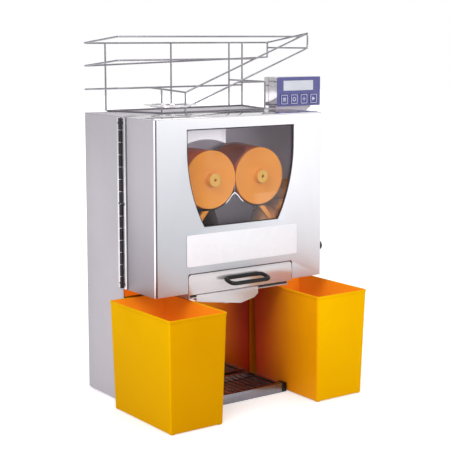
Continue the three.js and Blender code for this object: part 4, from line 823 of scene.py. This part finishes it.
def make_hinge():
    foot, head, knuckles, axis_x = 260, 630.4, 14, -228
    leaf_back, leaf_front, leaf_near, leaf_far = -225.8, -224.3, 4.2, 17
    tongue_near, tongue_far, screw_out, screw_face = 1.8, 5, 11, -225.7
    pitch = (head - foot) / knuckles
    for node, name, body, toward, first in (("hinge_leaf_body", "hinge_strip_body", "machine", 1, 0),
                                            ("hinge_leaf_door", "hinge_strip_door", "door", -1, 1)):
        near, far = sorted((toward * leaf_near, toward * leaf_far))
        strip = block(name, (leaf_back, near, foot), (leaf_front, far, head))
        soften(strip, 0.4)
        spans = [(foot + pitch * i + SLIP, foot + pitch * (i + 1) - SLIP) for i in range(first, knuckles, 2)]
        near, far = sorted((toward * tongue_near, toward * tongue_far))
        together(strip, *[block("tongue", (leaf_back, near, low), (leaf_front, far, high)) for low, high in spans])
        dress(strip, hinge_steel, body, STAINLESS, node)
        if body == "door":
            # A thin dark strip beside the door's hinge strip: a painted shadow in the gap at the door's side
            painted_shadow_strip = block("hinge_painted_shadow_strip", (-224.5, -21, DOOR_BOTTOM + 0.5), (-223.9, -17.3, DOOR_TOP - 0.5))
            dress(painted_shadow_strip, bend_painted_shade_line, body, STAINLESS)
        barrels = []
        for low, high in spans:
            long = high - low
            profile = [(1.9, 0.5), (3.2, 0.5), (3.7, 1), (3.7, long - 1), (3.2, long - 0.5), (1.9, long - 0.5)]
            barrels.append(turned("barrel", profile, (axis_x, 0, low), "Z", 28))
        # The knuckles' dark colour is a painted dark reflection
        dress(joined(barrels, name + "_barrels"), dark_steel, body, STAINLESS)
        places = [(screw_face, toward * screw_out, z) for z in (foot + 10, (foot + head) / 2, head - 12)]
        size, steel = (3.8, screw_steel) if body == "door" else (2.3, dark_steel)
        heads = [screw("hinge_screw", place, "X", size, 1.1, -1) for place in places]
        dress(joined(heads, name + "_screws"), steel, body, STAINLESS)
        if body == "door":
            profile = [(0, 0), (1.9, 0), (1.9, -1.2), (1.5, -1.6), (0, -1.6)]
            cores = [turned("core", profile, place, "X", 20) for place in places]
            dress(joined(cores, "hinge_screw_cores"), dark_steel, body, STAINLESS)
    pin = rod("hinge_pin", (axis_x, 0, foot), (axis_x, 0, head), 1.8, 24)
    dress(soften(pin, 0.3), screw_steel, "machine", STAINLESS)


# --- The press behind the window ---

def make_press():
    front, back = -102, -18
    cup_middle, cup_out, cup_radius = -60, 63, 37
    ball_out, ball_radius = 42, 32
    for sign, side in SIDES.items():
        x, z = CUPS[sign]
        bearing = -45 if sign > 0 else 225
        drum = rod("cup_drum_" + side + "_body", (x, front, z), (x, back, z), 62.5, 96)
        for a, b in arc(x, z, cup_out, bearing + 60, bearing + 300, 2):
            carve(drum, globe("cup", (a, cup_middle, b), cup_radius))
        soften(drum, 0.8, 2, 40)
        dress(drum, orange_painted_shade, "cups_" + side, "orange_plastic", "cup_drum_" + side)
        profile = [(3.6, -10), (3.6, -16.4), (4.2, -17), (8.4, -17), (8.9, -16.3), (9.8, -16.3), (10.3, -17),
                   (13, -17), (14.1, -16.4), (14.5, -15.2), (14.5, -4.6), (15.4, -3.4), (17.5, -2.7), (20, -2.6),
                   (57.4, -2.6), (58.2, -3), (61.6, -3), (62.3, -2.4), (62.5, -1.6), (62.5, 0), (0, 0), (0, -9.4),
                   (3.2, -9.4)]
        disc = turned("cup_disc_" + side + "_face", profile, (x, front - SLIP, z), "Y", 112)
        coat(disc, orange_plastic, hub_painted_highlight)
        # Faces ahead of the hub's front take the painted-highlight copy
        hub_front = -118.2
        for face in disc.data.polygons:
            if measured(face.center)[1] < hub_front:
                face.material_index = 1
        dress(disc, None, "cups_" + side, "orange_plastic", "cup_disc_" + side)
        x, z = BALLS[sign]
        core = turned("ball_drum_" + side + "_body", [(8.4, 0), (15, 0), (16, 1), (16, 83), (15, 84), (8.4, 84)],
                      (x, front, z), "Y", 64)
        for a, b in arc(x, z, ball_out, bearing + 270, bearing + 450, 1):
            together(core, globe("ball", (a, cup_middle, b), ball_radius))
        dress(core, orange_plastic, "balls_" + side, "orange_plastic", "ball_drum_" + side)
        refine("ejector_" + side, "arms", 1.2, orange_plastic, "machine", "orange_plastic")
    refine("wedge_block", "body", 0.8, grey_plastic, "machine", "grey_plastic")
    # A thin near-white strip along the wedge's front ridge: a painted highlight on its edges
    tip, round_cups, thick = HEIGHT - 167.1, 66, 2.6
    right = arc(*CUPS[1], round_cups, 214, 232, 2)
    ridge = [(-a, b) for a, b in reversed(right)] + [(0, tip)] + right
    edge = plate("wedge_edge_strip", ridge + [(a, b - thick) for a, b in reversed(ridge)], "Y", -102.2, -100.5)
    dress(edge, bend_painted_highlight, "machine", "mirror_stainless")
    refine("feed_chute", "sheet", 0.5, white_plastic, "machine", "white_plastic")


# --- Filter drawer, handle and trough ---

def slot_row(floor, count, first, last, half, front, back, radius, through):
    """Long slots with round corners, side by side through a floor."""
    pitch = (last - first) / count
    for i in range(count):
        x = first + (i + 0.5) * pitch
        carve(floor, plate("slot", rounded(x - half, x + half, front, back, radius), "Z", *through))


def make_drawer():
    outline = rounded(-139.5, 139.5, 255.5, 299.5, 8, 0, 8)
    panel = soften(plate("drawer_front", outline, "Y", DOOR_FRONT, DOOR_FRONT + SHEET), 0.4)
    half, wall, tub_front, tub_back, tub_bottom, tub_top, above = 130, 1.5, -127.2, -8, 259, 292.5, 310
    tub = block("tub", (-half, tub_front, tub_bottom), (half, tub_back, tub_top))
    carve(tub, block("hollow", (-half + wall, -126.6, tub_bottom + wall), (half - wall, tub_back - wall, above)))
    slot_row(tub, 9, first=-102, last=31, half=3, front=-112.6, back=-24, radius=2.9, through=(256, 265))
    together(panel, soften(tub, 0.3))
    dress(panel, drawer_sheet, "drawer", STAINLESS, "filter_drawer")

    half, back, front, high, low = 51, -133.4, -164.9, HEIGHT - 349.5, HEIGHT - 356.5
    loop = [(0, back, high), (-half, back, high), (-half, front, low), (half, front, low), (half, back, high),
            (0, back, high)]
    handle = wires("drawer_handle_loop", [loop], 4.5, 13, closed=True, fineness=5)
    dress(handle, black_plastic, "drawer", "black_plastic", "drawer_handle")

    refine("juice_trough", "sheet", 0.4, trough_sheet, "trough", STAINLESS)


# --- Drip tray ---

def make_tray():
    refine("drip_tray", "sheet", 0.5, tray_sheet, "tray", STAINLESS)
    for sign, side in SIDES.items():
        near, far = sorted((sign * 110.3, sign * 123.8))
        cap = block("tray_cap_" + side + "_moulding", (near, -133.6, 0.6), (far, -111.6, 22))
        dress(soften(cap, 1.6, 4), black_plastic, "tray", "black_plastic", "tray_cap_" + side)
    half, front, back, top, rim, slots, bar = 107.7, -131.3, -10.3, 22, 5, 14, 2.6
    grille = block("drip_grille_sheet", (-half, front, top - SHEET), (half, back, top))
    pitch = 2 * (half - rim) / slots
    slot_row(grille, slots, -half + rim, half - rim, (pitch - bar) / 2, front + rim, back - rim, 3, (14, 28))
    dress(soften(grille, 0.3), grille_painted_reflection, "grille", "mirror_stainless", "drip_grille")


# --- Peel bins ---

def make_bins():
    width, front, back, bottom, top, foot_in = 142, -244, -6, 2, 238.9, 13
    taper, wall, corner, inner_corner, bead = 6, 3, 7, 4, (233, 239.2)
    inwards, upright, side_on, near_floor = 0.3, 0.5, 0.7, 20
    for sign, side in SIDES.items():
        x0 = 121 if sign > 0 else -263
        x1 = x0 + width

        def level(inset, radius):
            return rounded(x0 + inset, x1 - inset, front + inset, back - inset, radius, None, 8)

        shell = loft("peel_bin_" + side + "_moulding", level(taper, corner), level(0, corner), "Z", bottom, top)
        low_inside, high_inside = level(taper + wall, inner_corner), level(wall, inner_corner)
        carve(shell, loft("hollow", low_inside, high_inside, "Z", bottom + wall, top + 1))
        soften(shell, 1.0, 3, 50)
        rim = loft("rim", level(-0.6, 7.6), level(-1.2, 8.2), "Z", *bead)
        carve(rim, plate("inside", level(2.7, 4.3), "Z", 230, 245))
        together(shell, soften(rim, 0.8, 3, 50))
        coat(shell, bin_plastic, bin_inside_painted_glow, bin_shaded, bin_front_painted_shade)
        # Painted light by face direction: insides and the inner floor take the glowing copy, the sides that face
        # the other bin the shaded copy with painted shade to the back, and the left bin's front the painted-shade
        # copy
        for face in shell.data.polygons:
            n = face.normal
            x, y, z = measured(face.center)
            turn = Vector(((x0 + x1) / 2 - x, (front + back) / 2 - y, 0)).normalized().dot(n)
            if (turn > inwards and abs(n.z) < upright) or (z < near_floor and n.z > upright):
                face.material_index = 1
            elif n.x * sign < -side_on:
                face.material_index = 2
            elif sign < 0 and n.y < -side_on:
                face.material_index = 3
        profile = [(0, 0), (5, 0), (5.8, 0.6), (6, 1.4), (6, 3), (0, 3)]
        together(shell, *[coat(turned("foot", profile, (x, y, 0), "Z", 28), bin_plastic)
                          for x in (x0 + foot_in, x1 - foot_in) for y in (front + foot_in, back - foot_in)])
        dress(shell, None, "bin_" + side, "amber_plastic", "peel_bin_" + side, smooth=40)


# --- Basket and inlet collar ---

def make_basket():
    front, back, left, back_left = 8, 150, -225, -230
    low, middle, top, back_drop, low_drop = HEIGHT + 58.5, HEIGHT + 117.5, HEIGHT + 167.5, 14.5, 7
    end, back_end, start = 292, 282, -55
    upper_low, upper_high, lower_low, lower_high = HEIGHT + 45.5, HEIGHT + 175, HEIGHT + 11.5, HEIGHT + 140.5
    foot, stay = HEIGHT + 2.3, HEIGHT + 21.2

    def rail(low_end, high_end):
        """Height and place along one of the two rails that climb to the right."""
        return (lambda x: low_end + (high_end - low_end) * (x - start) / (end - start),
                lambda z: start + (z - low_end) * (end - start) / (high_end - low_end))

    upper, upper_x = rail(upper_low, upper_high)
    lower, lower_x = rail(lower_low, lower_high)
    legs, guard, guard_z, dip, inner = (-175, 0, 166, 205), 166, HEIGHT + 64.5, -147, -117
    leg_top = low + (upper_low - low) * (inner - dip) / (start - dip)
    runs = [
        [(upper_x(top), front, top), (left, front, top), (back_left, back, top - back_drop),
         (back_end, back, top - back_drop), (end, front, upper(end))],
        [(upper_x(middle), front, middle), (left, front, middle), (back_left, back, middle - back_drop),
         (back_end, back, middle)],
        [(back_end, back, lower(end)), (end, front, lower(end))],
        [(start, front, upper_low), (dip, front, low), (left, front, low), (back_left, back, low - low_drop),
         (legs[3], back, low - low_drop)],
        [(start, front, upper_low), (end, front, upper(end)), (end, front, lower(end)), (start, front, lower_low)],
        [(back_end, back, top - back_drop), (back_end, back, middle)],
        [(lower_x(guard_z), front, guard_z), (guard, front, guard_z), (guard, back, guard_z)],
        [(guard, front, guard_z), (guard, front, foot)],
        [(start, front, upper_low), (start, front, foot)],
        [(inner, front, leg_top), (inner, front, foot)],
        [(inner, front, foot), (guard, front, foot), (legs[3], back, foot), (legs[0], back, foot),
         (inner, front, foot)],
    ]
    runs += [[(x, back, top - back_drop), (x, back, foot)] for x in legs]
    bore, wire, ring_out, ring_z, collar_z = 38, 2, 41, HEIGHT + 21.8, HEIGHT + 23.5
    reach = ring_out + wire + 0.2
    for x in (inner, start):
        dx, dy = x - INLET[0], front - INLET[1]
        length = math.hypot(dx, dy)
        runs.append([(x, front, stay), (INLET[0] + dx * reach / length, INLET[1] + dy * reach / length, stay)])
    frame_wires = wires("basket_wires", runs, wire, 9)
    dress(frame_wires, wire_steel, "basket", "wire_steel", "basket_frame", smooth=50)

    profile = [(bore, 0.3), (38.3, 0), (56.5, 0), (57, 0.4), (57, 1.1), (56.5, 1.5), (38.5, 1.5), (bore, 1.1)]
    collar = turned("feed_collar_ring", profile, (*INLET, collar_z), "Z", 96)
    clear()
    bpy.ops.mesh.primitive_torus_add(location=at(*INLET, ring_z), major_segments=96, minor_segments=14,
                                     major_radius=ring_out / PER_METRE, minor_radius=wire / PER_METRE)
    together(collar, started("ring"))
    dress(collar, top_sheet, "basket", "wire_steel", "feed_collar")


# --- Control case ---

KEY_Z = HEIGHT + 20
SIGN_DEPTHS = (26.5, 27)


def key_sign(i, x):
    """Plain raised marks, a different one on each key."""
    def bar(a0, a1, b0, b1):
        return plate("mark", rounded(x + a0, x + a1, KEY_Z + b0, KEY_Z + b1, 0.5, None, 2), "Y", *SIGN_DEPTHS)

    if i == 0:
        return [bar(-4.5, 4.5, 2.2, 4), bar(-4.5, 4.5, -1, 0.8), bar(-4.5, 4.5, -4.2, -2.4)]
    if i == 1:
        ring = plate("mark", circle(x, KEY_Z, 5, 32), "Y", *SIGN_DEPTHS)
        return [carve(ring, plate("inside", circle(x, KEY_Z, 3.3, 32), "Y", 20, 40))]
    if i == 2:
        return [bar(-4.8, 4.8, -0.9, 0.9), bar(-0.9, 0.9, -4.8, 4.8)]
    return [plate("mark", [(x - 4, KEY_Z - 4.6), (x + 4.4, KEY_Z), (x - 4, KEY_Z + 4.6)], "Y", *SIGN_DEPTHS)]


def make_control():
    x0, x1, z0, z1, wall = 219, 350, HEIGHT + 3.6, HEIGHT + 72.5, 1.5
    face_front, face_back, back = 28.6, 30, 80
    screen_low, screen_high, through = HEIGHT + 40, HEIGHT + 64.5, (20, 40)
    key_half, key_half_high, gap, flange_out, line_in, line_wide = 10.5, 11.5, SLIP, 1, 0.7, 1.2
    case = plate("control_case_sheet", rounded(x0, x1, z0, z1, 2.5), "Y", face_back + SLIP, back)
    hollow = rounded(x0 + wall, x1 - wall, z0 + wall, z1 - wall, 1.2)
    carve(case, plate("hollow", hollow, "Y", through[0], back - wall))
    dress(soften(case, 0.4), top_sheet, "machine", "mirror_stainless", "control_case")

    def key_outline(x, out, radius):
        wide, high = key_half + out, key_half_high + out
        return rounded(x - wide, x + wide, KEY_Z - high, KEY_Z + high, radius)

    face = plate("control_face_film", rounded(x0, x1, z0, z1, 2.2), "Y", face_front, face_back)
    carve(face, plate("screen", rounded(237.5, 329, screen_low, screen_high, 1.5), "Y", *through))
    first_key, key_pitch = 239, 29.8
    centres = [first_key + key_pitch * i for i in range(4)]
    for x in centres:
        carve(face, plate("key", key_outline(x, gap, 3.2), "Y", *through))
    dress(soften(face, 0.3), blue_face, "machine", "blue_plastic", "control_face")

    pane = plate("display_pane", rounded(237.8, 328.7, screen_low + SLIP, screen_high - SLIP, 1.3), "Y", 29.2, 31)
    dress(soften(pane, 0.2), display_face, "machine", "grey_plastic")
    for i, x in enumerate(centres):
        name = "key_%d" % (i + 1)
        key = plate(name + "_cap", key_outline(x, 0, 3), "Y", 26.8, face_back + SLIP)
        flange = plate("flange", key_outline(x, flange_out, 3.6), "Y", face_back + SLIP, 31.6)
        soften(key, 0.6, 3)
        together(key, flange)
        dress(key, key_plastic, name, "blue_plastic", "key_cap_%d" % (i + 1))
        edge = plate(name + "_edging", key_outline(x, -line_in, 2.4), "Y", *SIGN_DEPTHS)
        carve(edge, plate("inside", key_outline(x, -line_in - line_wide, 1.4), "Y", *through))
        together(edge, *key_sign(i, x))
        dress(edge, key_edge, name, "white_plastic")
    refine("control_bracket", "plate", 0.6, side_sheet_painted_shade, "machine", STAINLESS)


for make in (make_housing, make_feet, make_mains, make_door, make_hinge, make_press,
             make_drawer, make_tray, make_bins, make_basket, make_control):
    make()


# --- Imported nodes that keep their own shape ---

def paint(look, *names):
    for name in names:
        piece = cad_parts[name]
        if not piece.material_slots:
            piece.data.materials.append(look)
        for slot in piece.material_slots:
            slot.material = look


paint(back_plate_painted_reflection, "front_plate")
paint(side_sheet_painted_shade, "base_plate", "drawer_runners")
paint(cast_metal, "bearing_carrier", "drive_frame")
paint(motor_paint, "gear_motor")
paint(gear_steel, "cup_shaft_left", "cup_shaft_right", "cup_gear_left", "cup_gear_right", "ball_shaft_left",
      "ball_shaft_right", "drive_pinion")
paint(wire_steel, "knife_blade")
paint(board_laminate, "control_board")
